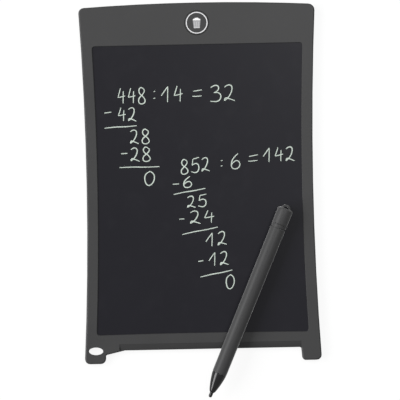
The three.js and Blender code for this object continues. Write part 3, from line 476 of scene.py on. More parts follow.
def board_mask():
    material, shader, start = new_finish("solder_mask", Coat_Weight=0.3, Coat_Roughness=0.2)
    runs = lines(start, "DIAGONAL", 130.0, [(0.6, 0), (0.68, 1)], distortion=1.5)
    weave = grain(start, 0.3 * MM)
    colour = (runs * 0.6 + weave * 0.4).mix((0.012, 0.1, 0.035, 1), (0.03, 0.2, 0.07, 1))
    feed(shader, Base_Color=colour, Roughness=0.35 + weave * 0.12, Normal=relief(start, runs, 0.02 * MM))
    return material


def polyimide():
    material, shader, start = new_finish("amber_polyimide")
    conductors = lines(start, "X", 160.0, [(0.5, 0), (0.58, 1)])
    haze = grain(start, 2 * MM)
    feed(
        shader,
        Base_Color=conductors.mix((0.3, 0.12, 0.02, 1), (0.62, 0.33, 0.1, 1)),
        Roughness=0.3 + haze * 0.15,
        Normal=relief(start, conductors, 0.02 * MM),
    )
    return material


solder_mask = board_mask()
amber = polyimide()

# %% [markdown]
# Ceramic, ferrite, tape and the plain sheets have no pattern but a fine speckle, each in its own size.

# %% Speckled finishes
def speckled(name, dark, light, size, roughness):
    material, shader, start = new_finish(name)
    speckle = grain(start, size, detail=4.0)
    feed(
        shader,
        Base_Color=speckle.mix(shade(dark), shade(light)),
        Roughness=roughness + speckle * 0.12,
        Normal=relief(start, speckle, 0.02 * MM, strength=0.5),
    )
    return material


tan_ceramic = speckled("tan_ceramic", (0.22, 0.13, 0.07), (0.34, 0.22, 0.13), 0.15 * MM, 0.4)
ferrite = speckled("ferrite", (0.03, 0.03, 0.032), (0.055, 0.055, 0.058), 0.2 * MM, 0.6)
black_tape = speckled("black_tape", (0.014, 0.014, 0.014), (0.024, 0.024, 0.024), 0.4 * MM, 0.75)
black_sheet = speckled("black_sheet", (0.006, 0.006, 0.007), (0.01, 0.01, 0.011), 0.5 * MM, 0.65)
plate_sheet = speckled("plate_sheet", (0.08, 0.085, 0.09), (0.1, 0.105, 0.11), 0.6 * MM, 0.6)

# %% [markdown]
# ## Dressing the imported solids
# The inner pieces stay as they are packed and only take a finish, because nothing shows them until the
# tablet is opened. A small table says which finish belongs on which piece.

# %% Give the inner pieces their finishes
inner_finishes = {
    "film_tape_frame": black_tape,
    "absorber_sheet": black_sheet,
    "backing_plate": plate_sheet,
    "flex_tail": amber,
    "switch_housing": matt_black,
    "switch_plunger": nickel,
    "circuit_board": solder_mask,
    "driver_chip": resin_black,
    "boost_coil": ferrite,
    "capacitor_1": tan_ceramic,
    "capacitor_2": tan_ceramic,
    "capacitor_3": tan_ceramic,
    "lock_switch": nickel,
    "coin_cell": cell_steel,
    "contact_positive": nickel,
    "contact_negative": nickel,
    "board_screw_1": nickel,
    "board_screw_2": nickel,
}
for node, finish in inner_finishes.items():
    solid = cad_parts[node]
    solid.data.materials.clear()
    solid.data.materials.append(finish)
print("dressed inside:", len(inner_finishes))

# %% [markdown]
# The shells, the film, the hatch, its screw and the lock slider are seen from outside. Each gets a smooth
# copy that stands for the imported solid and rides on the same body.

# %% Smooth copies of the outer pieces
def dress(piece, finish, body):
    """Gives a finished piece its material and its body."""
    piece.data.materials.clear()
    piece.data.materials.append(finish)
    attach(piece, body)
    return piece


outer_pieces = [
    ("front_shell", "bezel", bezel_plastic, "tablet", "bezel"),
    ("back_shell", "back_cover", back_plastic, "tablet", "back"),
    ("writing_film", "film_sheet", writing_film_finish, "tablet", "film"),
    ("battery_hatch", "hatch_cover", back_plastic, "battery_hatch", "back"),
    ("hatch_screw", "hatch_screw_metal", nickel, "battery_hatch", "steel"),
    ("lock_slider", "lock_knob", matt_black, "lock_slider", "component"),
]
for node, name, finish, body, slot in outer_pieces:
    dress(smooth_copy(node, name), finish, body)

# %% [markdown]
# ## Turned pieces
# The stylus and the button are turned forms. A plane merged to a single point is pulled along the profile
# by one extrusion for each pair of radius and height, and the line is spun round the Z axis, as on a lathe.
# Where it touches the axis the copies of that point merge into a pole. A bevel then breaks the sharp edges,
# because no moulded edge is perfectly sharp.

# %% Spin a profile
TURN_STEPS = 96


def soften_edges(piece, width, sharper_than):
    """Rounds the edges sharper than an angle in degrees, by a width in millimetres."""
    limit = math.radians(sharper_than)
    apply_modifier(piece, "BEVEL", width=width * MM, segments=3, limit_method="ANGLE", angle_limit=limit)


def turned(name, profile, soften=0.0):
    """A closed solid of revolution about Z from (radius, height) pairs in millimetres."""
    points = [Vector((radius * MM, 0, height * MM)) for radius, height in profile]
    bpy.ops.object.select_all(action="DESELECT")
    bpy.ops.mesh.primitive_plane_add(size=MM, location=points[0])
    piece = bpy.context.object
    piece.name = piece.data.name = name
    settle(piece)
    bpy.ops.object.mode_set(mode="EDIT")
    bpy.ops.mesh.select_mode(type="VERT")
    bpy.ops.mesh.select_all(action="SELECT")
    bpy.ops.mesh.merge(type="CENTER")
    for before, after in zip(points, points[1:]):
        bpy.ops.mesh.extrude_vertices_move(TRANSFORM_OT_translate={"value": after - before})
    bpy.ops.mesh.select_all(action="SELECT")
    bpy.ops.mesh.spin(steps=TURN_STEPS, angle=math.tau, center=(0, 0, 0), axis=(0, 0, 1))
    bpy.ops.mesh.select_all(action="SELECT")
    bpy.ops.mesh.remove_doubles(threshold=MERGE)
    bpy.ops.mesh.normals_make_consistent(inside=False)
    leave_edit()
    if soften:
        soften_edges(piece, soften, sharper_than=20)
    shade_smooth(piece, degrees=40)
    print(name, "turned, faces:", len(piece.data.polygons))
    return piece


# %% [markdown]
# ## The erase button
# The button is a moulded cup. Under the shell a wider flange keeps it from falling out, and a pin in the
# middle of its hollow underside presses the switch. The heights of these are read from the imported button,
# so that the turned one sits in the shell and on the switch in the same way.

# %% Measure the button
BUTTON_RADIUS = 7.4
FLANGE = 1.1
PIN_RADIUS = 1.2
flange_radius = BUTTON_RADIUS + FLANGE
button_low, button_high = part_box("erase_button")
button_centre = (button_low + button_high) / 2
BUTTON_TOP = button_high.z / MM


def button_level(extreme, inner, outer):
    """The lowest or highest packed corner between two radii; extreme is min or max."""
    corners = [vertex.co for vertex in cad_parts["erase_button"].data.vertices]
    return extreme(c.z for c in corners if inner * MM < (c - button_centre).xy.length < outer * MM) / MM


pin_foot = button_level(min, PIN_RADIUS / 2, PIN_RADIUS * 2)
flange_foot = button_level(min, BUTTON_RADIUS, flange_radius * 2)
flange_top = button_level(max, BUTTON_RADIUS + FLANGE / 2, flange_radius * 2)
print("button from", round(flange_foot, 2), "to", round(BUTTON_TOP, 2), "mm, pin from", round(pin_foot, 2))

# %% [markdown]
# The button's face is dished a little, so that a finger finds it, and its rim is eased. Cup, flange and pin
# are one lathe profile, which is turned at the origin and then moved to the button's middle.

# %% Turn the button
BUTTON_WALL = 1.0
BUTTON_FACE = 0.8
DISH = 0.15
RIM = 0.2
RIM_CORNER = 0.06
RIM_DROP = 0.01
FACE_STEPS = 10


def dished_height(radius):
    """Height of the button's hollow face at a radius, in millimetres."""
    return BUTTON_TOP - DISH * (1 - (radius / BUTTON_RADIUS) ** 2)


def centre_on_button(piece):
    """Moves a piece that was turned round the Z axis to the button's middle."""
    piece.location = (button_centre.x, button_centre.y, 0)
    return settle(piece)


ceiling = BUTTON_TOP - DISH - BUTTON_FACE
face_radii = [BUTTON_RADIUS * step / FACE_STEPS for step in range(FACE_STEPS)]
button = turned(
    "button_cap",
    [
        (0, pin_foot),
        (PIN_RADIUS, pin_foot),
        (PIN_RADIUS, ceiling),
        (BUTTON_RADIUS - BUTTON_WALL, ceiling),
        (BUTTON_RADIUS - BUTTON_WALL, flange_foot),
        (flange_radius, flange_foot),
        (flange_radius, flange_top),
        (BUTTON_RADIUS, flange_top),
        (BUTTON_RADIUS, BUTTON_TOP - RIM),
        (BUTTON_RADIUS - RIM_CORNER, BUTTON_TOP - RIM_CORNER),
        (BUTTON_RADIUS - RIM, BUTTON_TOP - RIM_DROP),
        *((radius, dished_height(radius)) for radius in reversed(face_radii)),
    ],
)
centre_on_button(button)
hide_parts("erase_button")
dress(button, button_plastic, "erase_button")

# %% [markdown]
# A ring and a wastebasket are printed on the button in pale paint. The ring is a thin band, turned like the
# button, that follows the dished face.

# %% Print the ring
RING_OUTER = 6.7
RING_STROKE = 0.56
RING_STEPS = 4
PAINT = 0.02


def paint_band(inner, outer):
    """Profile of a band of paint on the dished face, from its inner to its outer radius."""
    radii = [inner + (outer - inner) * step / RING_STEPS for step in range(RING_STEPS + 1)]
    top = [(radius, dished_height(radius) + PAINT) for radius in radii]
    foot = [(radius, dished_height(radius) - PAINT) for radius in reversed(radii)]
    return [*top, *foot, top[0]]


ring = turned("button_ring_print", paint_band(RING_OUTER - RING_STROKE, RING_OUTER))
dress(centre_on_button(ring), print_light_grey, "erase_button")

# %% [markdown]
# The pictogram's parts are flat plates of paint. Each starts as a cube of its size. Its lower side is
# narrowed by scaling, and its upright edges are bevelled round, both in edit mode. Where plates overlap,
# each layer stands a hair above the one under it, so that their tops never share a plane.

# %% Make flat painted plates
PRINT_BASE = BUTTON_TOP - DISH - 0.03
PRINT_RISE = 0.09
LAYER_RISE = 0.01


def painted_plate(name, centre, size, corner, foot_share=1.0, layer=0):
    """A plate of paint; foot_share narrows its lower side, layer lifts it. Sizes in millimetres."""
    rise = (PRINT_RISE + LAYER_RISE * layer) * MM
    x, y = centre
    place = Vector((button_centre.x + x * MM, button_centre.y + y * MM, PRINT_BASE * MM + rise / 2))
    bpy.ops.object.select_all(action="DESELECT")
    bpy.ops.mesh.primitive_cube_add(size=1, location=place)
    plate = bpy.context.object
    plate.name = plate.data.name = name
    plate.scale = (size[0] * MM, size[1] * MM, rise)
    settle(plate)
    choose(plate, "VERT", lambda corner_place: corner_place.y < place.y)
    bpy.ops.transform.resize(value=(foot_share, 1, 1), center_override=place)
    choose(plate, "EDGE", lambda a, b: abs(a.z - b.z) > rise / 2)
    bpy.ops.mesh.bevel(offset=corner * MM, segments=4, affect="EDGES")
    leave_edit()
    return plate


def copied(piece, name, shift):
    """A copy of a piece with its own mesh, shifted along X by millimetres."""
    pick(piece)
    bpy.ops.object.duplicate(linked=False)
    twin = bpy.context.object
    twin.name = twin.data.name = name
    twin.location.x = shift * MM
    return settle(twin)


# %% [markdown]
# The basket is a generic pictogram: a tapered bin with upright ribs and a brighter foot, under a lid whose
# middle rises to a handle. One rib is made, and the other two are copies of it.

# %% Print the wastebasket
# Each row: name, finish, centre, size, corner, foot_share, layer.
basket_parts = [
    ("basket_body_print", print_grey, (0, -1.0), (4.75, 4.7), 0.3, 0.77, 0),
    ("basket_foot_print", print_pale_grey, (0, -2.95), (3.75, 0.8), 0.25, 0.94, 1),
    ("basket_lid_print", print_white, (0, 1.95), (4.6, 1.0), 0.25, 1, 1),
    ("basket_handle_print", print_white, (0, 2.6), (2.5, 0.9), 0.42, 1, 2),
]
for name, finish, *plate in basket_parts:
    dress(painted_plate(name, *plate), finish, "erase_button")

RIB_PITCH = 1.2
ribs = [painted_plate("basket_rib_1_print", (-RIB_PITCH, -0.85), size=(0.38, 3.2), corner=0.12, layer=1)]
for number in (2, 3):
    ribs.append(copied(ribs[0], f"basket_rib_{number}_print", RIB_PITCH * (number - 1)))
for rib in ribs:
    dress(rib, print_pale_grey, "erase_button")
print("pictogram parts:", len(basket_parts) + len(ribs))

# %% [markdown]
# ## The stylus
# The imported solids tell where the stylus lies: its axis runs through the middle of the nib and the middle
# of the cap. Each piece is turned upright at the origin, and then laid along that axis with one matrix.

# %% Find the stylus axis
def middle(node):
    """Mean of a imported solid's separate corners."""
    corners = {tuple(round(c, 7) for c in vertex.co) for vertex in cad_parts[node].data.vertices}
    return sum((Vector(corner) for corner in corners), Vector()) / len(corners)


def reach(node, origin, direction):
    """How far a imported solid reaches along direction, from its nearest to its farthest corner."""
    along = [(vertex.co - origin).dot(direction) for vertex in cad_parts[node].data.vertices]
    return min(along) / MM, max(along) / MM


nib_middle = middle("stylus_nib")
stylus_axis = (middle("stylus_cap") - nib_middle).normalized()
tip = nib_middle + stylus_axis * reach("stylus_nib", nib_middle, stylus_axis)[0] * MM
cone_start = reach("stylus_cone", tip, stylus_axis)[0]
barrel_start, barrel_end = reach("stylus_barrel", tip, stylus_axis)
cap_end = reach("stylus_cap", tip, stylus_axis)[1]

upward = Vector((0, 0, 1))
across = stylus_axis.cross(upward).normalized()
stylus_place = Matrix((across, stylus_axis.cross(across), stylus_axis)).transposed().to_4x4()
stylus_place.translation = tip
stylus_lean = math.atan2(stylus_axis.y, stylus_axis.x)
stylus_plastic = stylus_finish(stylus_lean)
print("stylus: cone from", round(cone_start, 2), "barrel", round(barrel_start, 2), round(barrel_end, 2))
print("stylus length:", round(cap_end, 2), "mm, lean:", round(math.degrees(stylus_lean), 2), "degrees")

# %% [markdown]
# The nib is a small pin with a round end that stands out of the cone's mouth. Its profile is a quarter of a
# circle and a straight shank.

# %% Turn the nib
def lay_stylus(piece, node, finish):
    """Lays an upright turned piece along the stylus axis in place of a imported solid."""
    piece.data.transform(stylus_place)
    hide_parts(node)
    return dress(piece, finish, "stylus")


NIB_RADIUS = 1.1
NIB_ROOT = 1.6
NIB_STEPS = 10
nib_angles = [math.radians(90 * step / NIB_STEPS) for step in range(NIB_STEPS + 1)]
nib_curve = [(NIB_RADIUS * math.sin(angle), NIB_RADIUS * (1 - math.cos(angle))) for angle in nib_angles]
nib = turned("nib", [*nib_curve, (NIB_RADIUS, cone_start + NIB_ROOT), (0, cone_start + NIB_ROOT)])
lay_stylus(nib, "stylus_nib", nose_black)

# %% [markdown]
# The nose cone starts with a short chamfer round the nib and swells in a full curve to the barrel. A spigot
# behind it goes into the barrel. Between the two runs a narrow seam, closed by a collar a quarter of a
# millimetre further in, which shows as a fine dark ring.

# %% Turn the nose cone
MOUTH_DEPTH = 1.5
MOUTH_RADIUS = 1.25
NECK_RADIUS = 1.45
NECK_LENGTH = 1.2
CONE_LENGTH = 12.3
CONE_TIP_RADIUS = 2.05
CONE_BASE_RADIUS = 4.5
CONE_BULGE = 0.5
CONE_STEPS = 24
COLLAR_RADIUS = 4.25
SPIGOT_RADIUS = 3.15
SPIGOT_LENGTH = 2.0
cone_end = cone_start + CONE_LENGTH
curve_start = cone_start + NECK_LENGTH


def cone_point(share):
    """Radius and height of the nose cone at a share of its curve."""
    swell = share + CONE_BULGE * share * (1 - share)
    radius = CONE_TIP_RADIUS + (CONE_BASE_RADIUS - CONE_TIP_RADIUS) * swell
    return radius, curve_start + (cone_end - curve_start) * share


cone = turned(
    "nose_cone",
    [
        (0, cone_start + MOUTH_DEPTH),
        (MOUTH_RADIUS, cone_start + MOUTH_DEPTH),
        (MOUTH_RADIUS, cone_start),
        (NECK_RADIUS, cone_start),
        *(cone_point(step / CONE_STEPS) for step in range(CONE_STEPS + 1)),
        (COLLAR_RADIUS, cone_end),
        (COLLAR_RADIUS, barrel_start),
        (SPIGOT_RADIUS, barrel_start),
        (SPIGOT_RADIUS, cone_end + SPIGOT_LENGTH),
        (0, cone_end + SPIGOT_LENGTH),
    ],
    soften=0.08,
)
lay_stylus(cone, "stylus_cone", nose_black)

# %% [markdown]
# The barrel widens gently towards the tail. A groove near its end marks off a ring, as on the real one.

# %% Turn the barrel
BARREL_NOSE_RADIUS = 4.55
BARREL_TAIL_RADIUS = 4.75
RING_WIDTH = 1.8
GROOVE_WIDTH = 0.8
GROOVE_DEPTH = 0.55


def barrel_point(height, depth=0.0):
    """Radius and height on the barrel, depth millimetres under its surface."""
    share = (height - barrel_start) / (barrel_end - barrel_start)
    return BARREL_NOSE_RADIUS + (BARREL_TAIL_RADIUS - BARREL_NOSE_RADIUS) * share - depth, height


groove_end = barrel_end - RING_WIDTH
groove_start = groove_end - GROOVE_WIDTH
barrel = turned(
    "barrel",
    [
        (0, barrel_start),
        barrel_point(barrel_start),
        barrel_point(groove_start),
        barrel_point(groove_start, GROOVE_DEPTH),
        barrel_point(groove_end, GROOVE_DEPTH),
        barrel_point(groove_end),
        barrel_point(barrel_end),
        (0, barrel_end),
    ],
    soften=0.16,
)
lay_stylus(barrel, "stylus_barrel", stylus_plastic)

# %% [markdown]
# The cap is turned too, behind a seam and a collar like those of the cone. Its shoulder slopes down to the
# foot of a flat eye for a cord.

# %% Turn the cap
CAP_RADIUS = 4.825
CAP_COLLAR_RADIUS = 3.9
CAP_LENGTH = 9.7
CAP_SEAM = 0.3
CAP_SPIGOT = 1.0
SHOULDER_LENGTH = 1.2
SHOULDER_EASE = (0.6, 0.25)
EYE_WIDTH = 5.6
cap_start = barrel_end + CAP_SEAM
cap_shoulder = cap_start + CAP_LENGTH
eye_base = cap_shoulder + SHOULDER_LENGTH
cap = turned(
    "cap",
    [
        (0, cap_start - CAP_SPIGOT),
        (SPIGOT_RADIUS, cap_start - CAP_SPIGOT),
        (SPIGOT_RADIUS, barrel_end),
        (CAP_COLLAR_RADIUS, barrel_end),
        (CAP_COLLAR_RADIUS, cap_start),
        (CAP_RADIUS, cap_start),
        (CAP_RADIUS, cap_shoulder),
        (CAP_RADIUS - SHOULDER_EASE[0], cap_shoulder + SHOULDER_EASE[1]),
        (EYE_WIDTH / 2, eye_base),
        (0, eye_base),
    ],
    soften=0.14,
)

# %% [markdown]
# The eye is a cube whose upper corners are bevelled to an arch. A second rounded block is the cutter for the
# slot through eye and shoulder. Boolean modifiers join the first to the cap and take the second away.

# %% Give the cap its eye
def rounded_block(name, low, high, corner, rounded_from):
    """A block between two corners in millimetres; its edges along Y above a height become round."""
    centre = [(a + b) / 2 * MM for a, b in zip(low, high)]
    bpy.ops.object.select_all(action="DESELECT")
    bpy.ops.mesh.primitive_cube_add(size=1, location=centre)
    block = bpy.context.object
    block.name = block.data.name = name
    block.scale = [(b - a) * MM for a, b in zip(low, high)]
    settle(block)
    choose(block, "EDGE", lambda a, b: abs(a.y - b.y) > MERGE and min(a.z, b.z) > rounded_from * MM)
    bpy.ops.mesh.bevel(offset=corner * MM, segments=10, affect="EDGES")
    leave_edit()
    return block


EYE_THICKNESS = 3.0
EYE_CORNER = 2.5
EYE_EASE = 0.3
SLOT = (2.8, 1.1)
SLOT_CORNER = 0.5
half_eye = (EYE_WIDTH / 2, EYE_THICKNESS / 2)
eye = rounded_block(
    "eye",
    (-half_eye[0], -half_eye[1], cap_shoulder),
    (half_eye[0], half_eye[1], cap_end),
    EYE_CORNER,
    eye_base,
)
soften_edges(eye, EYE_EASE, sharper_than=60)
slot_cutter = rounded_block(
    "slot_cutter",
    (-SLOT[0] / 2, -2 * CAP_RADIUS, eye_base - SLOT[1] / 2),
    (SLOT[0] / 2, 2 * CAP_RADIUS, eye_base + SLOT[1] / 2),
    SLOT_CORNER,
    0,
)
apply_modifier(cap, "BOOLEAN", operation="UNION", object=eye, solver="EXACT")
apply_modifier(cap, "BOOLEAN", operation="DIFFERENCE", object=slot_cutter, solver="EXACT")
bpy.data.objects.remove(slot_cutter)
bpy.data.objects.remove(eye)
shade_smooth(cap, degrees=35)
lay_stylus(cap, "stylus_cap", stylus_plastic)
print("cap faces:", len(cap.data.polygons), "length with eye:", round(cap_end - cap_start, 2), "mm")

# %% [markdown]
# ## Handwriting
# Two long divisions in plain numbers stand on the film, written by hand in the size and place that such a
# tablet is used for. Each figure is a few strokes through control points in a box one unit wide and high.
# A NURBS curve smooths them, its bevel gives them width, and squeezing the tube flat makes it a pressed line.

# %% Draw the figures as strokes
FIGURES = {
    "0": [
        [(0.5, 1), (0.1, 0.9), (-0.05, 0.45), (0.15, -0.02), (0.6, -0.06), (1.02, 0.4), (0.9, 0.95),
         (0.45, 1.04)],
    ],
    "1": [[(0, 0.42), (0.35, 0.72), (0.72, 1)], [(0.72, 1), (0.7, 0.5), (0.66, 0)]],
    "2": [
        [(0.05, 0.85), (0.3, 1), (0.75, 0.95), (0.78, 0.6), (0.35, 0.12), (0.02, 0)],
        [(0.02, 0), (0.05, 0.2), (0.4, 0.14), (1, -0.04)],
    ],
    "3": [
        [(0.05, 0.88), (0.4, 1.05), (0.85, 0.95), (0.75, 0.62), (0.35, 0.55)],
        [(0.35, 0.55), (0.85, 0.58), (1.08, 0.25), (0.7, -0.08), (0, 0.03)],
    ],
    "4": [
        [(0.42, 1), (0.25, 0.68), (0.08, 0.4)],
        [(0.08, 0.4), (0.5, 0.42), (1, 0.5)],
        [(0.78, 0.8), (0.74, 0.4), (0.72, 0)],
    ],
    "5": [
        [(0.25, 0.98), (0.6, 1), (1.02, 1.06)],
        [(0.25, 0.98), (0.2, 0.75), (0.14, 0.52)],
        [(0.14, 0.52), (0.55, 0.7), (1, 0.5), (0.95, 0.05), (0.45, -0.08), (0.02, 0.08)],
    ],
    "6": [
        [(0.75, 1.02), (0.35, 0.8), (0.02, 0.42), (0.05, -0.05), (0.7, -0.08), (1, 0.25), (0.75, 0.55),
         (0.3, 0.48), (0.08, 0.25)],
    ],
    "8": [
        [(0.85, 0.85), (0.5, 1.1), (0.12, 0.9), (0.2, 0.62), (0.75, 0.4), (1, 0.1), (0.6, -0.08),
         (0.1, -0.02), (0.08, 0.3), (0.6, 0.55), (0.9, 0.78), (0.8, 0.92)],
    ],
    "=": [[(0, 0.12), (0.5, 0), (1, 0.06)], [(0.1, 0.9), (0.55, 0.94), (1.05, 1)]],
    ":": [[(0.1, 0), (0.7, 0.08)], [(0.2, 0.92), (0.8, 1)]],
    "-": [[(0, 0.3), (0.5, 0.4), (1, 0.6)]],
}
print("figures and signs:", len(FIGURES))

# %% [markdown]
# Each number or sign holds its text, the place of its lower left corner, its width and height in
# millimetres, and how much it climbs. The rules under the sums are long strokes drawn without a ruler.

# %% Place the numbers of the two sums
FIRST_SUM = [
    ("448", (-50.0, 49.7), (17.5, 9.4), 0),
    (":", (-27.8, 52.3), (1.6, 4.6), 0),
    ("14", (-22.8, 49.9), (13.2, 9.6), 0.03),
    ("=", (-3.5, 52.8), (5.6, 3.9), 0.08),
    ("32", (7.5, 49.7), (15.1, 9.8), 0.05),
    ("-", (-58.2, 43.8), (4.3, 0.6), 0.08),
    ("42", (-50.0, 38.9), (11.4, 8.2), 0),
    ("28", (-42.6, 24.9), (12.2, 8.4), 0),
    ("-", (-48.4, 18.4), (3.9, 0.6), 0),
    ("28", (-42.5, 14.0), (12.5, 8.2), 0),
    ("0", (-34.0, -1.0), (6.1, 8.1), 0),
]
FIRST_RULES = [((-58.3, 34.6), (-38.4, 35.8)), ((-49.5, 10.0), (-24.8, 10.2))]
SECOND_SUM = [
    ("852", (-11.8, 5.4), (18.0, 8.4), 0.1),
    (":", (13.0, 9.7), (1.6, 3.6), 0),
    ("6", (19.5, 8.4), (5.9, 8.7), 0),
    ("=", (30.2, 12.0), (5.7, 3.6), 0.12),
    ("142", (39.5, 11.5), (19.3, 8.6), 0.05),
    ("-", (-16.8, -1.1), (3.9, 0.6), 0),
    ("6", (-10.2, -2.7), (5.4, 6.3), 0),
    ("25", (-8.1, -15.5), (11.8, 7.0), 0.06),
    ("-", (-13.2, -22.8), (3.1, 0.6), 0),
    ("24", (-6.5, -25.4), (14.9, 7.8), 0.02),
    ("12", (3.0, -40.3), (12.9, 8.2), 0.15),
    ("-", (-2.0, -49.2), (3.1, 0.6), 0.1),
    ("12", (4.6, -52.2), (12.2, 8.2), 0.1),
    ("0", (15.1, -66.0), (5.1, 8.2), 0),
]
SECOND_RULES = [((-16.4, -7.3), (3.3, -3.8)), ((-11.6, -32.2), (10.5, -27.9)), ((-0.8, -58.7), (18.9, -54.7))]
print("numbers and signs:", len(FIRST_SUM), "and", len(SECOND_SUM))

# %% [markdown]
# The figures of a number share its width, with a gap between them, and follow its climb. A rule is drawn as
# a hand draws it, with two slight bends.

# %% Turn the numbers into strokes
BETWEEN_FIGURES = 0.24
BENDS = [(0.33, 0.3), (0.68, -0.25)]


def number_strokes(text, corner, size, climb):
    """The strokes of one number as lists of points in millimetres."""
    pitch = size[0] / (len(text) - BETWEEN_FIGURES)
    width = pitch * (1 - BETWEEN_FIGURES)
    strokes = []
    for place, character in enumerate(text):
        for stroke in FIGURES[character]:
            points = []
            for x, y in stroke:
                along = place * pitch + x * width
                points.append((corner[0] + along, corner[1] + y * size[1] + along * climb))
            strokes.append(points)
    return strokes


def rule_stroke(start, end):
    """A line from start to end with each bend at its share of the way."""
    between = [
        (start[0] + (end[0] - start[0]) * share, start[1] + (end[1] - start[1]) * share + bend)
        for share, bend in BENDS
    ]
    return [start, *between, end]


def sum_strokes(rows, rules):
    strokes = [stroke for row in rows for stroke in number_strokes(*row)]
    return strokes + [rule_stroke(*rule) for rule in rules]


first_sum = sum_strokes(FIRST_SUM, FIRST_RULES)
second_sum = sum_strokes(SECOND_SUM, SECOND_RULES)
print("strokes:", len(first_sum), "and", len(second_sum))

# %% [markdown]
# A stroke starts and ends thinner, where the stylus lands and lifts, and its width wavers a little on the
# way. The radius of each control point does both. The tube is squeezed until it stands a few hundredths of a
# millimetre above the film.

# %% Write on the film
STROKE_WIDTH = 0.64
STROKE_RISE = 0.03
STROKE_HEIGHT = 0.01
ENDING = 0.72
WAVER = 0.12
film_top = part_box("writing_film")[1].z


def write(name, strokes):
    """Turns strokes into one mesh of flat pressed lines on the film."""
    curve = bpy.data.curves.new(name, "CURVE")
    curve.dimensions = "3D"
    curve.bevel_depth = STROKE_WIDTH / 2 * MM
    curve.bevel_resolution = 2
    curve.resolution_u = 5
    curve.use_fill_caps = True
    for stroke in strokes:
        spline = curve.splines.new("NURBS")
        spline.points.add(len(stroke) - 1)
        spline.order_u = 3
        spline.use_endpoint_u = True
        for index, (x, y) in enumerate(stroke):
            spline.points[index].co = (x * MM, y * MM, 0, 1)
            ending = index in (0, len(stroke) - 1)
            spline.points[index].radius = ENDING if ending else 1 + WAVER * math.sin(3.1 * index + x)
    line = bpy.data.objects.new(name, curve)
    bpy.context.scene.collection.objects.link(line)
    pick(line)
    bpy.ops.object.convert(target="MESH")
    line = bpy.context.object
    line.scale.z = STROKE_RISE / (STROKE_WIDTH / 2)
    line.location.z = film_top + STROKE_HEIGHT * MM
    settle(line)
    shade_smooth(line, degrees=60)
    dress(line, stroke_finish, "tablet")
    print(name, "faces:", len(line.data.polygons))


write("first_sum_writing", first_sum)
write("second_sum_writing", second_sum)

# %% [markdown]
# ## Stage, light and camera
# The picture has a white ground. To the camera, and to what glass would let through, the floor glows plain
# white with only a share of its true shading, which keeps a soft shadow under the tablet. Glossy surfaces
# see a part of that glow, and all other rays meet a plain grey studio floor.

# %% Lay the floor
FLOOR_SIZE = 12
PAPER_WHITE = (0.98, 0.98, 0.98)
STUDIO_GREY = (0.4, 0.4, 0.4)
WHITE_SHARE = 0.9
MIRRORED_SHARE = 0.25


def ray_kind(start, kind):
    """1 for rays of one kind, such as Is Camera Ray, and 0 for all others."""
    return start.node("ShaderNodeLightPath", output=kind)


def straight_ray(start):
    """1 for rays from the camera and through glass, which see the white ground, and 0 for all others."""
    return ray_kind(start, "Is Camera Ray") + ray_kind(start, "Is Transmission Ray")


def floor_finish():
    material = bpy.data.materials.new("white_floor")
    material.use_nodes = True
    tree = material.node_tree
    tree.nodes.clear()
    start = Signal(tree)
    seen = straight_ray(start)
    paper_colour = seen.mix(shade(STUDIO_GREY), shade(PAPER_WHITE))
    paper = start.node("ShaderNodeBsdfDiffuse", inputs={"Color": paper_colour})
    glow = start.node("ShaderNodeEmission", inputs={"Color": (1, 1, 1, 1), "Strength": 1.0})
    share = seen * WHITE_SHARE + ray_kind(start, "Is Glossy Ray") * MIRRORED_SHARE
    floor_mix = start.node("ShaderNodeMixShader", inputs={0: share, 1: paper, 2: glow})
    output = tree.nodes.new("ShaderNodeOutputMaterial")
    tree.links.new(floor_mix.socket, output.inputs["Surface"])
    return material


bpy.ops.object.select_all(action="DESELECT")
bpy.ops.mesh.primitive_plane_add(size=FLOOR_SIZE, location=(0, 0, 0))
floor = bpy.context.object
floor.name = "floor"
floor.data.materials.append(floor_finish())
print("floor:", FLOOR_SIZE, "m wide")

# %% [markdown]
# The world fills in evenly from all sides. The camera sees it white, as the floor is, while polished
# surfaces see it only a little brighter than the fill.

# %% Light the world
FILL = 0.25
MIRRORED_FILL = 0.1


def light_world():
    world = bpy.data.worlds.new("studio")
    bpy.context.scene.world = world
    world.use_nodes = True
    tree = world.node_tree
    tree.nodes.clear()
    start = Signal(tree)
    seen = straight_ray(start)
    mirrored = ray_kind(start, "Is Glossy Ray") * MIRRORED_FILL
    strength = FILL + seen * (1 - FILL) + mirrored
    background = start.node("ShaderNodeBackground", inputs={"Color": (1, 1, 1, 1), "Strength": strength})
    output = tree.nodes.new("ShaderNodeOutputWorld")
    tree.links.new(background.socket, output.inputs["Surface"])


light_world()
print("fill:", FILL)

# %% [markdown]
# The photograph's main light comes from the left: a long soft strip that runs beside the stylus, shifted
# towards the nib's end. It leaves one bright line down the stylus from the cap to the nib and lays a shadow
# to its right. A panel over the upper right gives the film and the bezel their sheen.

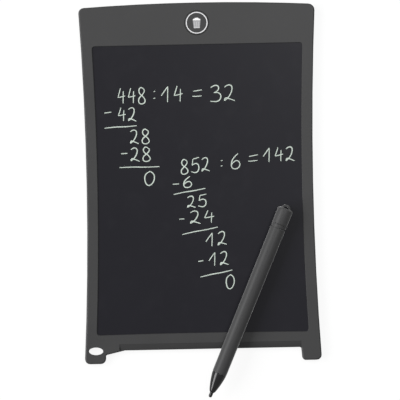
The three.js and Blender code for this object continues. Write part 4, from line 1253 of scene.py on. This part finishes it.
# %% Hang the two soft boxes
STRIP_SHIFT = -1.0
STRIP_DISTANCE = 2.06
STRIP_HEIGHT = 1.6
STRIP_SIZE = (3.5, 1.4)
STRIP_POWER = 110
PANEL_PLACE = Vector((0.46, 0.46, 1.2))
PANEL_SIZE = (0.5, 0.5)
PANEL_POWER = 6.3


def soft_box(name, place, aim, size, power):
    """A lamp that faces the point aim; size is its length over the ground and its height."""
    lamp = bpy.data.lights.new(name, "AREA")
    lamp.shape = "RECTANGLE"
    lamp.size, lamp.size_y = size
    lamp.energy = power
    holder = bpy.data.objects.new(name, lamp)
    bpy.context.scene.collection.objects.link(holder)
    holder.location = place
    holder.rotation_euler = (place - aim).to_track_quat("Z", "Y").to_euler()
    holder.visible_camera = False
    print(name, "at", [round(value, 2) for value in place], "power:", power)


along_stylus = Vector((math.cos(stylus_lean), math.sin(stylus_lean), 0))
left_of_stylus = Vector((-along_stylus.y, along_stylus.x, 0))
strip_aim = along_stylus * STRIP_SHIFT
strip_place = strip_aim + left_of_stylus * STRIP_DISTANCE + Vector((0, 0, STRIP_HEIGHT))
soft_box("key_strip", strip_place, strip_aim, STRIP_SIZE, STRIP_POWER)
soft_box("sheen_panel", PANEL_PLACE, Vector(), PANEL_SIZE, PANEL_POWER)

# %% [markdown]
# The photograph looks straight down on the face from far away, with the tablet turned by about a degree. The
# camera's place and turn follow from three measurements in it: the scale in pixels for a millimetre, the
# tablet's middle line and the turn.

# %% Place the camera
PHOTO_SIZE = 400
PIXELS_PER_MM = 1.6164
TURN = 0.0202
MIDDLE = (-0.15, -11.0)
LENS = 250

camera_data = bpy.data.cameras.new("camera")
camera_data.lens = LENS
camera_data.sensor_width = 36
field = PHOTO_SIZE / PIXELS_PER_MM * MM
camera = bpy.data.objects.new("camera", camera_data)
bpy.context.scene.collection.objects.link(camera)
camera.location = (MIDDLE[0] * MM, MIDDLE[1] * MM, face_height + field * LENS / camera_data.sensor_width)
camera.rotation_euler = (0, 0, -TURN)
camera_data.clip_end = 50
bpy.context.scene.camera = camera
print("field of view:", round(field / MM, 1), "mm at the face")

# %% [markdown]
# Last, the view settings: Standard keeps the colours as they are written.

# %% Finish
bpy.context.scene.view_settings.view_transform = "Standard"
